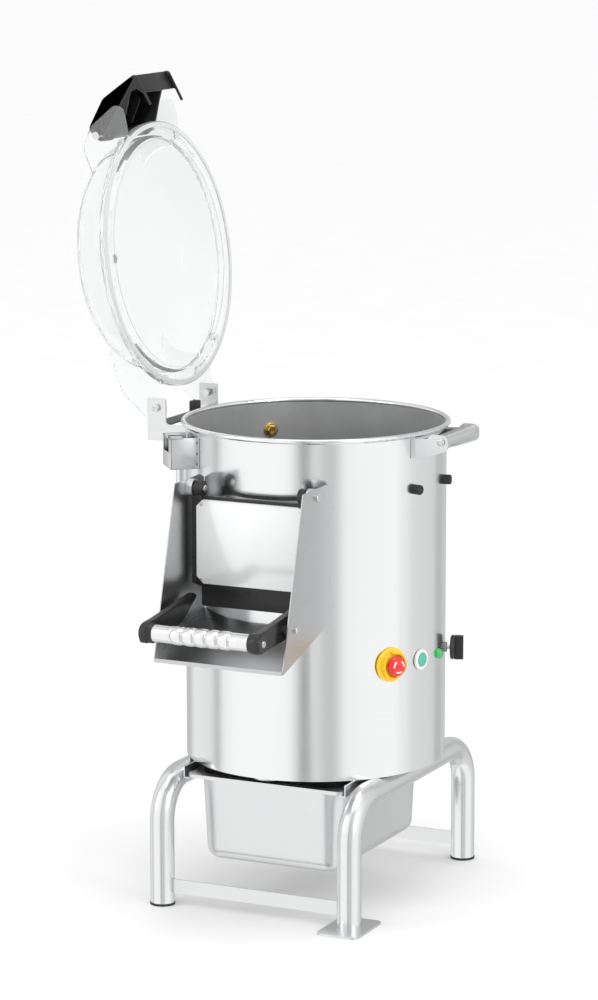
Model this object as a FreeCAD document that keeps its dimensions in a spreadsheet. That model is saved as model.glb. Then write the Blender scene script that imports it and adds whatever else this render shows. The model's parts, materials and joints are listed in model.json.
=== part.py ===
import FreeCAD, Part
import math
import os
import re
import Sketcher

Vector = FreeCAD.Vector
Rotation = FreeCAD.Rotation
Placement = FreeCAD.Placement

# Driving sizes in millimetres and degrees. The origin is on the floor, on the axis of the drum,
# with the discharge chute facing -Y and the lid hinge on the -X side.
SIZES = [
    ("drum_radius", 228),
    ("drum_wall", 2),
    ("drum_base", 240),
    ("drum_rim", 834),
    ("rim_bead", 4.5),
    ("sheet", 2),
    ("running_gap", 0.3),
    ("pin_gap", 0.05),
    # stand
    ("tube_radius", 21.2),
    ("tube_wall", 2),
    ("tube_bend", 72),
    ("stand_half_width", 179),
    ("stand_half_length", 245),
    ("foot_plate_thick", 4),
    ("foot_plate_width", 76),
    ("foot_plate_length", 112),
    ("foot_hole", 4.5),
    ("foot_hole_reach", 38),
    ("foot_ring_rise", 9),
    ("strip_thick", 3),
    ("strip_height", 25),
    ("strip_low", 22),
    # peelings pan and its rails
    ("pan_width", 300),
    ("pan_length", 382),
    ("pan_front", 211),
    ("pan_top", 228),
    ("pan_depth", 155),
    ("pan_wall", 1.2),
    ("pan_flange", 13),
    ("pan_hem", 6.5),
    ("pan_corner", 38),
    ("pan_floor_round", 22),
    ("pan_taper", 3),
    ("rail_lip", 9),
    ("rail_side_gap", 3),
    ("rail_lift", 0.1),
    # peeling chamber and drive
    ("chamber_floor_top", 522),
    ("floor_thick", 3),
    ("liner_thick", 3),
    ("liner_top", 742),
    ("disc_radius", 212),
    ("disc_thick", 12),
    ("disc_lift", 12),
    ("disc_rib_rise", 10),
    ("disc_rib_half", 14),
    ("disc_rib_count", 3),
    ("hub_radius", 32),
    ("hub_rise", 16),
    ("shaft_radius", 12.5),
    ("shaft_low", 300),
    ("housing_radius", 34),
    ("housing_flange", 62),
    ("housing_length", 130),
    ("bearing_radius", 26),
    ("bearing_width", 15),
    ("driven_pulley_radius", 84),
    ("motor_pulley_radius", 28),
    ("pulley_width", 20),
    ("pulley_low", 304),
    ("belt_thick", 8),
    ("belt_width", 12),
    ("motor_reach", 142),
    ("motor_radius", 62),
    ("motor_height", 150),
    ("motor_low", 336),
    ("motor_shaft_radius", 9),
    ("drain_radius", 26),
    ("drain_reach", 188),
    # chute, door and lever
    ("chute_half_width", 119),
    ("chute_top", 757),
    ("chute_front_top", 303),
    ("chute_lip", 383),
    ("chute_lip_height", 465),
    ("chute_root_height", 521),
    ("chute_floor_rise", 7),
    ("chute_mouth_half", 88),
    ("chute_mouth_low", 548),
    ("chute_mouth_high", 722),
    ("frame_face", 240),
    ("frame_wall", 3),
    ("door_half_width", 95),
    ("door_low", 548),
    ("door_high", 739),
    ("door_thick", 10),
    ("seal_thick", 4),
    ("door_plate_thick", 1.5),
    ("door_plate_low", 580),
    ("door_plate_high", 722),
    ("door_plate_clip", 12),
    ("axle_radius", 6),
    ("axle_reach", 252),
    ("axle_height", 743),
    ("lever_half_width", 109),
    ("lever_arm_thick", 13),
    ("lever_pivot_reach", 334),
    ("lever_pivot_height", 533),
    ("lever_rod_radius", 5),
    ("grip_reach", 437),
    ("grip_height", 529),
    ("grip_radius", 15),
    ("grip_lobes", 5),
    ("grip_lobes_half", 76),
    ("grip_lobe_rise", 1.2),
    # hinge side
    ("hinge_reach", 260),
    ("hinge_height", 848),
    ("hinge_bolt_radius", 4),
    ("ear_offset", 98),
    ("ear_thick", 3),
    ("ear_width", 36),
    ("ear_low", 790),
    ("ear_top", 864),
    ("lid_open", 98),
    ("switch_box_reach", 184),
    ("switch_box_front", 190),
    ("switch_box_depth", 36),
    ("switch_box_low", 742),
    ("switch_box_high", 800),
    ("conduit_radius", 5),
    ("conduit_low", 500),
    # lid
    ("lid_radius", 233),
    ("lid_seat", 836),
    ("lid_flange", 9),
    ("lid_step_radius", 221),
    ("lid_step_rise", 17),
    ("lid_wall", 4),
    ("lid_side_radius", 209),
    ("lid_shoulder_radius", 150),
    ("lid_shoulder_rise", 97),
    ("lid_crown_rise", 112),
    ("lid_shoulder_arc", 74),
    ("lid_side_rise", 26),
    ("fin_thick", 4),
    ("fin_offset", 94.5),
    ("vent_radius", 8),
    # lid latch
    ("latch_pin_reach", 221.5),
    ("latch_pin_rise", 62),
    ("latch_pin_radius", 4),
    ("latch_half_width", 62),
    ("latch_bar_reach", 268),
    ("latch_bar_height", 820),
    ("latch_bar_radius", 8.5),
    ("latch_bar_half", 86),
    ("latch_ear_offset", 66),
    ("latch_ear_thick", 3),
    # controls
    ("panel_height", 433),
    ("stop_angle", 61),
    ("start_angle", 78),
    ("lamp_angle", 93.5),
    ("knob_angle", 107),
    ("stop_plate_radius", 30),
    ("stop_plate_thick", 4),
    ("stop_head_radius", 17),
    ("button_hole", 11.2),
    ("start_bezel_radius", 16),
    ("start_cap_radius", 9.5),
    ("lamp_radius", 8.5),
    ("stub_radius", 8.5),
    ("stub_length", 19),
    ("stub_height", 728),
    ("stub_angle", 76.5),
    ("stub_angle_rear", 115.5),
    ("knob_shaft_radius", 4),
    ("knob_radius", 22),
    ("nozzle_angle", 226.5),
    ("nozzle_height", 778),
    ("rear_service_angle", 180),
]

doc = FreeCAD.newDocument("potato_peeler")
sheet = doc.addObject("Spreadsheet::Sheet", "Sizes")
for row, (alias, size) in enumerate(SIZES, start=1):
    sheet.set("A%d" % row, alias.replace("_", " "))
    sheet.set("B%d" % row, str(size))
    sheet.setAlias("B%d" % row, alias)
doc.recompute()

ALIASES = {alias for alias, size in SIZES}
KEPT = []
UP = Vector(0, 0, 1)


def bound(text):
    """The expression with every size name pointed at the sheet."""
    return re.sub(r"[a-z_]+", lambda m: "Sizes." + m.group() if m.group() in ALIASES else m.group(), str(text))


def number(text):
    """The present value of an expression of size names."""
    value = sheet.evalExpression(bound(text).replace("Sizes.", ""))
    return float(getattr(value, "Value", value))


def new_body(label):
    body = doc.addObject("PartDesign::Body", label)
    body.Label = label
    KEPT.append(body)
    return body


def plane_of(body, role):
    return next(f for f in body.Origin.OriginFeatures if f.Role == role)


def sketch_on(body, role, offset=None):
    sketch = body.newObject("Sketcher::SketchObject", body.Label + "_sketch")
    sketch.AttachmentSupport = [(plane_of(body, role), "")]
    sketch.MapMode = "FlatFace"
    if offset is not None:
        sketch.setExpression("AttachmentOffset.Base.z", bound(offset))
    return sketch


def tie(sketch, constraints):
    """Adds the constraints and ties each value to its expression."""
    first = sketch.ConstraintCount
    sketch.addConstraint([c for c, text in constraints])
    for index, (c, text) in enumerate(constraints, start=first):
        if text is not None:
            sketch.setExpression("Constraints[%d]" % index, bound(text))


def pin_point(geometry, position, x, y):
    """Constraints that hold a point at x, y from the sketch's origin."""
    held = []
    for kind, text, axis in (("DistanceX", x, -2), ("DistanceY", y, -1)):
        value = number(text)
        if abs(value) < 1e-9:
            held.append((Sketcher.Constraint("PointOnObject", geometry, position, axis), None))
        elif value > 0:
            held.append((Sketcher.Constraint(kind, -1, 1, geometry, position, value), text))
        else:
            held.append((Sketcher.Constraint(kind, geometry, position, -1, 1, -value), "-(%s)" % text))
    return held


def draw_outline(sketch, corners):
    """A closed outline of straight sides. A corner's third value, if any, is its rounding radius."""
    points = [Vector(number(c[0]), number(c[1]), 0) for c in corners]
    radii = [number(c[2]) if len(c) > 2 else 0 for c in corners]
    count = len(points)
    enter, leave = [], []
    for i in range(count):
        back = (points[i - 1] - points[i]).normalize()
        ahead = (points[(i + 1) % count] - points[i]).normalize()
        cut = 0
        if radii[i]:
            cut = radii[i] / math.tan(back.getAngle(ahead) / 2)
        enter.append(points[i] + back * cut)
        leave.append(points[i] + ahead * cut)
    lines = [
        sketch.addGeometry(Part.LineSegment(leave[i], enter[(i + 1) % count]), False)
        for i in range(count)
    ]
    held = []
    for i in range(count):
        before, after = lines[i - 1], lines[i]
        if not radii[i]:
            held.append((Sketcher.Constraint("Coincident", before, 2, after, 1), None))
            held += pin_point(after, 1, corners[i][0], corners[i][1])
            continue
        back = enter[i] - points[i]
        ahead = leave[i] - points[i]
        middle = (back + ahead).normalize() * (radii[i] / math.sin(back.getAngle(ahead) / 2))
        centre = points[i] + middle
        left_turn = back.cross(ahead).z < 0
        start, end = (enter[i], leave[i]) if left_turn else (leave[i], enter[i])
        angles = [math.atan2((p - centre).y, (p - centre).x) for p in (start, end)]
        arc = sketch.addGeometry(Part.ArcOfCircle(Part.Circle(centre, UP, radii[i]), *angles), False)
        corner = sketch.addGeometry(Part.Point(points[i]), True)
        entry, departure = (1, 2) if left_turn else (2, 1)
        held += pin_point(corner, 1, corners[i][0], corners[i][1])
        held.append((Sketcher.Constraint("PointOnObject", corner, 1, before), None))
        held.append((Sketcher.Constraint("PointOnObject", corner, 1, after), None))
        held.append((Sketcher.Constraint("Tangent", before, 2, arc, entry), None))
        held.append((Sketcher.Constraint("Tangent", arc, departure, after, 1), None))
        held.append((Sketcher.Constraint("Radius", arc, radii[i]), corners[i][2]))
    tie(sketch, held)


def draw_circle(sketch, x, y, radius):
    centre = Vector(number(x), number(y), 0)
    circle = sketch.addGeometry(Part.Circle(centre, UP, number(radius)), False)
    held = [(Sketcher.Constraint("Radius", circle, number(radius)), radius)]
    if abs(centre.x) < 1e-9 and abs(centre.y) < 1e-9:
        held.append((Sketcher.Constraint("Coincident", circle, 3, -1, 1), None))
    else:
        held += pin_point(circle, 3, x, y)
    tie(sketch, held)


def box_corners(x_low, y_low, x_high, y_high, *rounding):
    return [
        (x_low, y_low, *rounding),
        (x_high, y_low, *rounding),
        (x_high, y_high, *rounding),
        (x_low, y_high, *rounding),
    ]


def extrude(body, kind, sketch, length, flip=False, both=False, taper=None):
    feature = body.newObject("PartDesign::" + kind, body.Label + "_" + kind.lower())
    feature.Profile = sketch
    feature.setExpression("Length", bound(length))
    feature.Reversed = flip
    feature.Midplane = both
    if taper is not None:
        feature.setExpression("TaperAngle", bound(taper))
    return feature


def pad(body, role, offset, corners, length, **options):
    sketch = sketch_on(body, role, offset)
    draw_outline(sketch, corners)
    return extrude(body, "Pad", sketch, length, **options)


def pad_round(body, role, offset, x, y, radius, length, **options):
    sketch = sketch_on(body, role, offset)
    draw_circle(sketch, x, y, radius)
    return extrude(body, "Pad", sketch, length, **options)


def pocket(body, role, offset, corners, length, **options):
    sketch = sketch_on(body, role, offset)
    draw_outline(sketch, corners)
    return extrude(body, "Pocket", sketch, length, **options)


def bore(body, role, offset, x, y, radius, length, **options):
    sketch = sketch_on(body, role, offset)
    draw_circle(sketch, x, y, radius)
    return extrude(body, "Pocket", sketch, length, **options)


def turn(body, corners, axis="V_Axis", role="XZ_Plane", kind="Revolution"):
    """Turns an outline a full circle about an axis of its own sketch."""
    sketch = sketch_on(body, role)
    draw_outline(sketch, corners)
    feature = body.newObject("PartDesign::" + kind, body.Label + "_" + kind.lower())
    feature.Profile = sketch
    feature.ReferenceAxis = (sketch, [axis])
    feature.Angle = 360
    return feature


def copy_across(body, role, features):
    """Mirrors features of a body across one of its origin planes."""
    mirror = body.newObject("PartDesign::Mirrored", body.Label + "_mirror")
    mirror.Originals = features
    mirror.MirrorPlane = (plane_of(body, role), [""])
    body.Tip = mirror
    return mirror


def copy_round(body, features, count):
    """Repeats features evenly about the body's vertical axis."""
    pattern = body.newObject("PartDesign::PolarPattern", body.Label + "_pattern")
    pattern.Originals = features
    pattern.Axis = (plane_of(body, "Z_Axis"), [""])
    pattern.Angle = 360
    pattern.setExpression("Occurrences", bound(count))
    body.Tip = pattern
    return pattern


def round_edges(body, feature, radius, chosen):
    """Fillets the edges of a feature for which chosen(edge) is true."""
    doc.recompute()
    names = ["Edge%d" % (i + 1) for i, edge in enumerate(feature.Shape.Edges) if chosen(edge)]
    fillet = body.newObject("PartDesign::Fillet", body.Label + "_fillet")
    fillet.Base = (feature, names)
    fillet.setExpression("Radius", bound(radius))
    return fillet


def on_drum(body, angle, height):
    """Puts a body on the drum with its own +X pointing outward at an angle from the front."""
    turned = Rotation(UP, number(angle) - 90)
    body.Placement = Placement(Vector(0, 0, number(height)), turned)


def radial_holes(body, holes):
    """Round holes through the drum wall: angle from the front, height and radius of each."""
    for angle, height, radius in holes:
        cutter = body.newObject("PartDesign::SubtractiveCylinder", body.Label + "_hole")
        cutter.setExpression("Radius", bound(radius))
        cutter.setExpression("Height", bound("drum_wall + 20"))
        way = Rotation(UP, number(angle) - 90).multVec(Vector(1, 0, 0))
        base = way * number("drum_radius - drum_wall - 10")
        cutter.Placement = Placement(base + UP * number(height), Rotation(UP, way))


# Stand

def leg_frame(label, side):
    """One polished tube bent to an inverted U, standing across the drum from front to rear."""
    body = new_body(label)
    top = "drum_base - tube_radius"
    path = sketch_on(body, "YZ_Plane", "%d * stand_half_width" % side)
    draw_path(path, [
        ("-stand_half_length", "foot_plate_thick"),
        ("-stand_half_length", top, "tube_bend"),
        ("stand_half_length", top, "tube_bend"),
        ("stand_half_length", "foot_plate_thick"),
    ])
    ring = sketch_on(body, "XY_Plane", "foot_plate_thick")
    draw_circle(ring, "%d * stand_half_width" % side, "-stand_half_length", "tube_radius")
    draw_circle(ring, "%d * stand_half_width" % side, "-stand_half_length", "tube_radius - tube_wall")
    pipe = body.newObject("PartDesign::AdditivePipe", label + "_pipe")
    pipe.Profile = ring
    pipe.Spine = path
    return body


def draw_path(sketch, corners):
    """An open run of straight lines with rounded corners."""
    points = [Vector(number(c[0]), number(c[1]), 0) for c in corners]
    last = len(points) - 1
    enter, leave = list(points), list(points)
    for i in range(1, last):
        radius = number(corners[i][2])
        back = (points[i - 1] - points[i]).normalize()
        ahead = (points[i + 1] - points[i]).normalize()
        cut = radius / math.tan(back.getAngle(ahead) / 2)
        enter[i] = points[i] + back * cut
        leave[i] = points[i] + ahead * cut
    lines = [sketch.addGeometry(Part.LineSegment(leave[i], enter[i + 1]), False) for i in range(last)]
    held = pin_point(lines[0], 1, corners[0][0], corners[0][1])
    held += pin_point(lines[-1], 2, corners[last][0], corners[last][1])
    for i in range(1, last):
        radius = number(corners[i][2])
        back = enter[i] - points[i]
        ahead = leave[i] - points[i]
        centre = points[i] + (back + ahead).normalize() * (radius / math.sin(back.getAngle(ahead) / 2))
        left_turn = back.cross(ahead).z < 0
        start, end = (enter[i], leave[i]) if left_turn else (leave[i], enter[i])
        angles = [math.atan2((p - centre).y, (p - centre).x) for p in (start, end)]
        arc = sketch.addGeometry(Part.ArcOfCircle(Part.Circle(centre, UP, radius), *angles), False)
        corner = sketch.addGeometry(Part.Point(points[i]), True)
        entry, departure = (1, 2) if left_turn else (2, 1)
        held += pin_point(corner, 1, corners[i][0], corners[i][1])
        held.append((Sketcher.Constraint("PointOnObject", corner, 1, lines[i - 1]), None))
        held.append((Sketcher.Constraint("PointOnObject", corner, 1, lines[i]), None))
        held.append((Sketcher.Constraint("Tangent", lines[i - 1], 2, arc, entry), None))
        held.append((Sketcher.Constraint("Tangent", arc, departure, lines[i], 1), None))
        held.append((Sketcher.Constraint("Radius", arc, radius), corners[i][2]))
    tie(sketch, held)


leg_frame("left_leg_tube", -1)
leg_frame("right_leg_tube", 1)


def foot_plates():
    """Rounded plates under the front right and rear left legs, each with a hole for a floor bolt."""
    body = new_body("foot_plates")
    half_width = "foot_plate_width / 2"
    half_length = "foot_plate_length / 2"
    plate = pad(body, "XY_Plane", None, box_corners(
        "stand_half_width - " + half_width, "-stand_half_length - " + half_length,
        "stand_half_width + " + half_width, "-stand_half_length + " + half_length, "12"),
        "foot_plate_thick")
    hole = bore(body, "XY_Plane", None, "stand_half_width", "-stand_half_length + foot_hole_reach",
                "foot_hole", "foot_plate_thick + 1", flip=True)
    copy_round(body, [plate, hole], "2")


def rubber_feet():
    """Black rubber plugs with a rim in the open ends of the other two legs."""
    body = new_body("rubber_feet")
    rim = pad_round(body, "XY_Plane", None, "-stand_half_width", "-stand_half_length",
                    "tube_radius + 0.8", "foot_plate_thick")
    plug = pad_round(body, "XY_Plane", None, "-stand_half_width", "-stand_half_length",
                     "tube_radius - tube_wall - 0.1", "foot_plate_thick + 18")
    copy_round(body, [rim, plug], "2")


def cross_strips():
    """Two flat strips that tie the leg frames together, front and rear."""
    body = new_body("cross_strips")
    strip = pad(body, "XZ_Plane", "stand_half_length + strip_thick / 2", box_corners(
        "-stand_half_width + tube_radius", "strip_low",
        "stand_half_width - tube_radius", "strip_low + strip_height"),
        "strip_thick", flip=True)
    copy_across(body, "XZ_Plane", [strip])


def pan_rails():
    """Folded sheet rails under the drum: a web beside the leg tube and a lip under the pan flange."""
    body = new_body("pan_rails")
    inside = "pan_width / 2 + rail_side_gap"
    lip_top = "pan_top - pan_hem - rail_lift"
    rail = pad(body, "XZ_Plane", "pan_front - 2", [
        (inside, lip_top),
        (inside, "drum_base - 0.1"),
        (inside + " + sheet", "drum_base - 0.1"),
        (inside + " + sheet", lip_top + " - sheet"),
        (inside + " - rail_lip", lip_top + " - sheet"),
        (inside + " - rail_lip", lip_top),
    ], "2 * (pan_front - 2)", flip=True)
    copy_across(body, "YZ_Plane", [rail])


def tapered_block(body, inset, top, depth):
    """A block that narrows downward, with rounded corners and a rounded bottom edge."""
    half = "pan_width / 2 - pan_flange - " + inset
    block = pad(body, "XY_Plane", top, box_corners(
        "-(%s)" % half, "-pan_front + pan_flange + " + inset,
        half, "pan_length - pan_front - pan_flange - " + inset, "pan_corner - " + inset),
        depth, flip=True, taper="-pan_taper")
    low = number("%s - (%s)" % (top, depth))
    return round_edges(body, block, "pan_floor_round - " + inset, lambda e: e.BoundBox.ZMax < low + 0.01)


def peelings_pan():
    """Deep-drawn steel pan with tapered walls, round corners and a turned-down flange."""
    body = new_body("peelings_pan")
    half = "pan_width / 2"
    rear = "pan_length - pan_front"
    tapered_block(body, "0", "pan_top", "pan_depth")
    hollow = doc.addObject("PartDesign::Body", "pan_hollow")
    tapered_block(hollow, "pan_wall", "pan_top", "pan_depth - pan_wall")
    cut = body.newObject("PartDesign::Boolean", "peelings_pan_cut")
    cut.Type = "Cut"
    cut.setObjects([hollow])
    body.Tip = cut
    edge = box_corners("-" + half, "-pan_front", half, rear, "14")
    flange = sketch_on(body, "XY_Plane", "pan_top")
    draw_outline(flange, edge)
    draw_outline(flange, box_corners(
        "-%s + pan_flange + pan_wall" % half, "-pan_front + pan_flange + pan_wall",
        "%s - pan_flange - pan_wall" % half, rear + " - pan_flange - pan_wall", "pan_corner - pan_wall"))
    extrude(body, "Pad", flange, "pan_wall", flip=True)
    hem = sketch_on(body, "XY_Plane", "pan_top")
    draw_outline(hem, edge)
    draw_outline(hem, box_corners("-%s + pan_wall" % half, "-pan_front + pan_wall",
                                  "%s - pan_wall" % half, rear + " - pan_wall", "14 - pan_wall"))
    extrude(body, "Pad", hem, "pan_hem", flip=True)


foot_plates()
rubber_feet()
cross_strips()
pan_rails()
peelings_pan()


# Drum and what stands in it

def drum_shell():
    """Rolled steel drum with a beaded rim, the discharge mouth and the holes for the controls."""
    body = new_body("drum_shell")
    turn(body, box_corners("drum_radius - drum_wall", "drum_base", "drum_radius", "drum_rim - rim_bead"))
    bead = sketch_on(body, "XZ_Plane")
    draw_circle(bead, "drum_radius + 2.5", "drum_rim - rim_bead", "rim_bead")
    rolled = body.newObject("PartDesign::Revolution", "drum_shell_bead")
    rolled.Profile = bead
    rolled.ReferenceAxis = (bead, ["V_Axis"])
    rolled.Angle = 360
    pocket(body, "XZ_Plane", None, box_corners(
        "-chute_mouth_half", "chute_mouth_low", "chute_mouth_half", "chute_mouth_high", "14"),
        "drum_radius + 10", flip=True)
    radial_holes(body, [
        ("stop_angle", "panel_height", "button_hole"),
        ("start_angle", "panel_height", "button_hole"),
        ("lamp_angle", "panel_height", "lamp_radius - 2"),
        ("knob_angle", "panel_height", "knob_shaft_radius + 2"),
        ("nozzle_angle", "nozzle_height", "7"),
        ("rear_service_angle", "drum_base + 40", "8"),
    ])


def chamber_floor():
    """Pressed floor of the peeling chamber with an upturned rim, shaft hole and drain hole."""
    body = new_body("chamber_floor")
    edge = "drum_radius - drum_wall - 0.3"
    turn(body, [
        ("shaft_radius + 8", "chamber_floor_top"),
        ("shaft_radius + 8", "chamber_floor_top - floor_thick"),
        (edge, "chamber_floor_top - floor_thick"),
        (edge, "chamber_floor_top + 14"),
        (edge + " - floor_thick", "chamber_floor_top + 14"),
        (edge + " - floor_thick", "chamber_floor_top"),
    ])
    bore(body, "XY_Plane", "chamber_floor_top + 1", "0", "-drain_reach", "drain_radius",
         "floor_thick + 2")


def abrasive_liner():
    """Abrasive band on the chamber wall, open at the discharge mouth."""
    body = new_body("abrasive_liner")
    outside = "drum_radius - drum_wall - 0.2"
    turn(body, box_corners(outside + " - liner_thick", "chamber_floor_top + 14.3", outside, "liner_top"))
    pocket(body, "XZ_Plane", None, box_corners(
        "-chute_mouth_half", "chute_mouth_low - 20", "chute_mouth_half", "liner_top + 1"),
        "drum_radius + 10", flip=True)


def abrasive_disc():
    """Turning disc with raised waves that throw the potatoes against the wall."""
    body = new_body("abrasive_disc")
    low = "chamber_floor_top + disc_lift"
    top = low + " + disc_thick"
    turn(body, [
        ("hub_radius + 0.1", low),
        ("disc_radius - 4", low),
        ("disc_radius", low + " + 4"),
        ("disc_radius", top + " + 3"),
        ("disc_radius - 18", top),
        ("hub_radius + 0.1", top),
    ])
    rib = pad(body, "YZ_Plane", "hub_radius + 14", [
        ("-disc_rib_half * 2", top + " - 2"),
        ("disc_rib_half * 2", top + " - 2"),
        ("disc_rib_half / 2", top + " + disc_rib_rise", "9"),
        ("-disc_rib_half / 2", top + " + disc_rib_rise", "9"),
    ], "disc_radius - hub_radius - 34")
    copy_round(body, [rib], "disc_rib_count")


def disc_carrier():
    """Hub that carries the disc on the shaft, with a domed cap in the middle."""
    body = new_body("disc_carrier")
    low = "chamber_floor_top + disc_lift"
    turn(body, [
        ("shaft_radius + pin_gap", low + " - 8"),
        ("hub_radius", low + " - 8"),
        ("hub_radius", low + " + disc_thick + 2"),
        ("hub_radius - 10", low + " + disc_thick + hub_rise", "8"),
        ("0", low + " + disc_thick + hub_rise"),
        ("0", low + " + disc_thick - 1"),
        ("shaft_radius + pin_gap", low + " + disc_thick - 1"),
    ])


def drive_shaft():
    """Vertical shaft from the belt pulley up to the disc hub."""
    body = new_body("drive_shaft")
    high = "chamber_floor_top + disc_lift + disc_thick - 1.2"
    turn(body, [
        ("0", "shaft_low"),
        ("shaft_radius - 1", "shaft_low"),
        ("shaft_radius", "shaft_low + 1"),
        ("shaft_radius", high + " - 1"),
        ("shaft_radius - 1", high),
        ("0", high),
    ])


def bearing_housing():
    """Flanged housing under the chamber floor that holds both shaft bearings."""
    body = new_body("bearing_housing")
    top = "chamber_floor_top - floor_thick"
    low = top + " - housing_length"
    turn(body, [
        ("shaft_radius + 3", top),
        ("shaft_radius + 3", top + " - 5"),
        ("bearing_radius + 0.02", top + " - 5"),
        ("bearing_radius + 0.02", top + " - 5 - bearing_width"),
        ("bearing_radius - 3", top + " - 5 - bearing_width"),
        ("bearing_radius - 3", low + " + bearing_width"),
        ("bearing_radius + 0.02", low + " + bearing_width"),
        ("bearing_radius + 0.02", low),
        ("housing_radius", low),
        ("housing_radius", top + " - 10"),
        ("housing_flange", top + " - 10"),
        ("housing_flange", top),
    ])


def shaft_bearings():
    """Two ball bearings, drawn as closed rings."""
    body = new_body("shaft_bearings")
    top = "chamber_floor_top - floor_thick - 5"
    low = "chamber_floor_top - floor_thick - housing_length"
    for start in (top + " - bearing_width", low):
        turn(body, box_corners("shaft_radius + 0.03", start, "bearing_radius", start + " + bearing_width"))


def shaft_seal():
    """Rubber lip seal round the shaft above the floor."""
    body = new_body("shaft_seal")
    turn(body, [
        ("shaft_radius + 0.06", "chamber_floor_top - 2"),
        ("shaft_radius + 7.8", "chamber_floor_top - 2"),
        ("shaft_radius + 7.8", "chamber_floor_top + 1.5"),
        ("shaft_radius + 0.06", "chamber_floor_top + 3"),
    ])


def grooved_pulley(label, radius, hole, reach):
    """A pulley with a groove for the belt, standing on the shaft at the given reach to the rear."""
    body = new_body(label)
    middle = "pulley_low + pulley_width / 2"
    turn(body, [
        (hole, "pulley_low"),
        (radius, "pulley_low"),
        (radius, middle + " - belt_width / 2 - 1"),
        (radius + " - belt_thick", middle + " - belt_width / 2 + 1.5"),
        (radius + " - belt_thick", middle + " + belt_width / 2 - 1.5"),
        (radius, middle + " + belt_width / 2 + 1"),
        (radius, "pulley_low + pulley_width"),
        (hole, "pulley_low + pulley_width"),
    ])
    body.Placement = Placement(Vector(0, number(reach), 0), Rotation())
    return body


def drive_belt():
    """Flat-sided belt round both pulleys, in their grooves."""
    body = new_body("drive_belt")
    low = number("pulley_low + (pulley_width - belt_width) / 2 + 2")
    big = number("driven_pulley_radius - belt_thick + 0.3")
    small = number("motor_pulley_radius - belt_thick + 0.3")
    thick = number("belt_thick - 2")
    reach = number("motor_reach")
    lean = math.asin((big - small) / reach)

    def loop(extra):
        """The closed outline of two arcs and their outer tangents."""
        points = {}
        for side in (-1, 1):
            for name, centre, radius in (("big", 0, big + extra), ("small", reach, small + extra)):
                points[name, side] = Vector(side * radius * math.cos(lean), centre + radius * math.sin(lean), low)
        low_point = Vector(0, -big - extra, low)
        high_point = Vector(0, reach + small + extra, low)
        edges = [
            Part.Arc(points["big", -1], low_point, points["big", 1]).toShape(),
            Part.LineSegment(points["big", 1], points["small", 1]).toShape(),
            Part.Arc(points["small", 1], high_point, points["small", -1]).toShape(),
            Part.LineSegment(points["small", -1], points["big", -1]).toShape(),
        ]
        return Part.Wire(edges)

    face = Part.Face([loop(thick), loop(0)])
    face.validate()
    feature = doc.addObject("Part::Feature", "drive_belt_loop")
    feature.Shape = face.extrude(Vector(0, 0, number("belt_width - 4")))
    body.BaseFeature = feature


def motor_body():
    """Upright motor with a finned case and end shields."""
    body = new_body("motor_body")
    high = "motor_low + motor_height"
    turn(body, [
        ("motor_shaft_radius + 0.06", "motor_low"),
        ("motor_radius - 6", "motor_low", "4"),
        ("motor_radius", "motor_low + 16", "6"),
        ("motor_radius", high + " - 20", "6"),
        ("motor_radius - 8", high, "6"),
        ("0", high),
        ("0", high + " - 30"),
        ("motor_shaft_radius + 0.06", high + " - 30"),
    ])
    body.Placement = Placement(Vector(0, number("motor_reach"), 0), Rotation())


def motor_pulley():
    """Motor pulley and its shaft, which turn as one."""
    body = grooved_pulley("motor_pulley", "motor_pulley_radius", "motor_shaft_radius - 1", "motor_reach")
    turn(body, box_corners("0", "pulley_low - 4", "motor_shaft_radius", "motor_low + motor_height - 31"))


def motor_bracket():
    """Plate that hangs the motor from the chamber floor beside the bearing housing."""
    body = new_body("motor_bracket")
    top = "chamber_floor_top - floor_thick"
    high = "motor_low + motor_height"
    pad(body, "XY_Plane", high, box_corners("-46", "motor_reach - 40", "46", "motor_reach + 40", "8"), "5")
    for side in (-1, 1):
        x = "%d * 43" % side
        pad(body, "YZ_Plane", x, box_corners(
            "motor_reach - 32", high + " + 5", "motor_reach + 32", top + " - 0.05"), "4", both=True)


def drain_duct():
    """Duct that leads water and peel from the chamber floor down to the pan."""
    body = new_body("drain_duct")
    y = "-drain_reach"
    sketch = sketch_on(body, "XY_Plane", "drum_base - 6")
    draw_circle(sketch, "0", y, "drain_radius + sheet")
    draw_circle(sketch, "0", y, "drain_radius")
    extrude(body, "Pad", sketch, "chamber_floor_top - floor_thick - drum_base + 6")


def bottom_cover():
    """Plate that closes the motor space from below, with a collar hole for the drain."""
    body = new_body("bottom_cover")
    turn(body, [
        ("0", "drum_base + 2"),
        ("drum_radius - drum_wall - 0.2", "drum_base + 2"),
        ("drum_radius - drum_wall - 0.2", "drum_base + 16"),
        ("drum_radius - drum_wall - 2.2", "drum_base + 16"),
        ("drum_radius - drum_wall - 2.2", "drum_base + 4"),
        ("0", "drum_base + 4"),
    ])
    bore(body, "XY_Plane", "drum_base + 5", "0", "-drain_reach", "drain_radius + sheet + 0.3", "5")


drum_shell()
chamber_floor()
abrasive_liner()
abrasive_disc()
disc_carrier()
drive_shaft()
bearing_housing()
shaft_bearings()
shaft_seal()
grooved_pulley("driven_pulley", "driven_pulley_radius", "shaft_radius + pin_gap", "0")
motor_body()
motor_pulley()
drive_belt()
motor_bracket()
drain_duct()
bottom_cover()


# Discharge chute, door and lever

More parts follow.
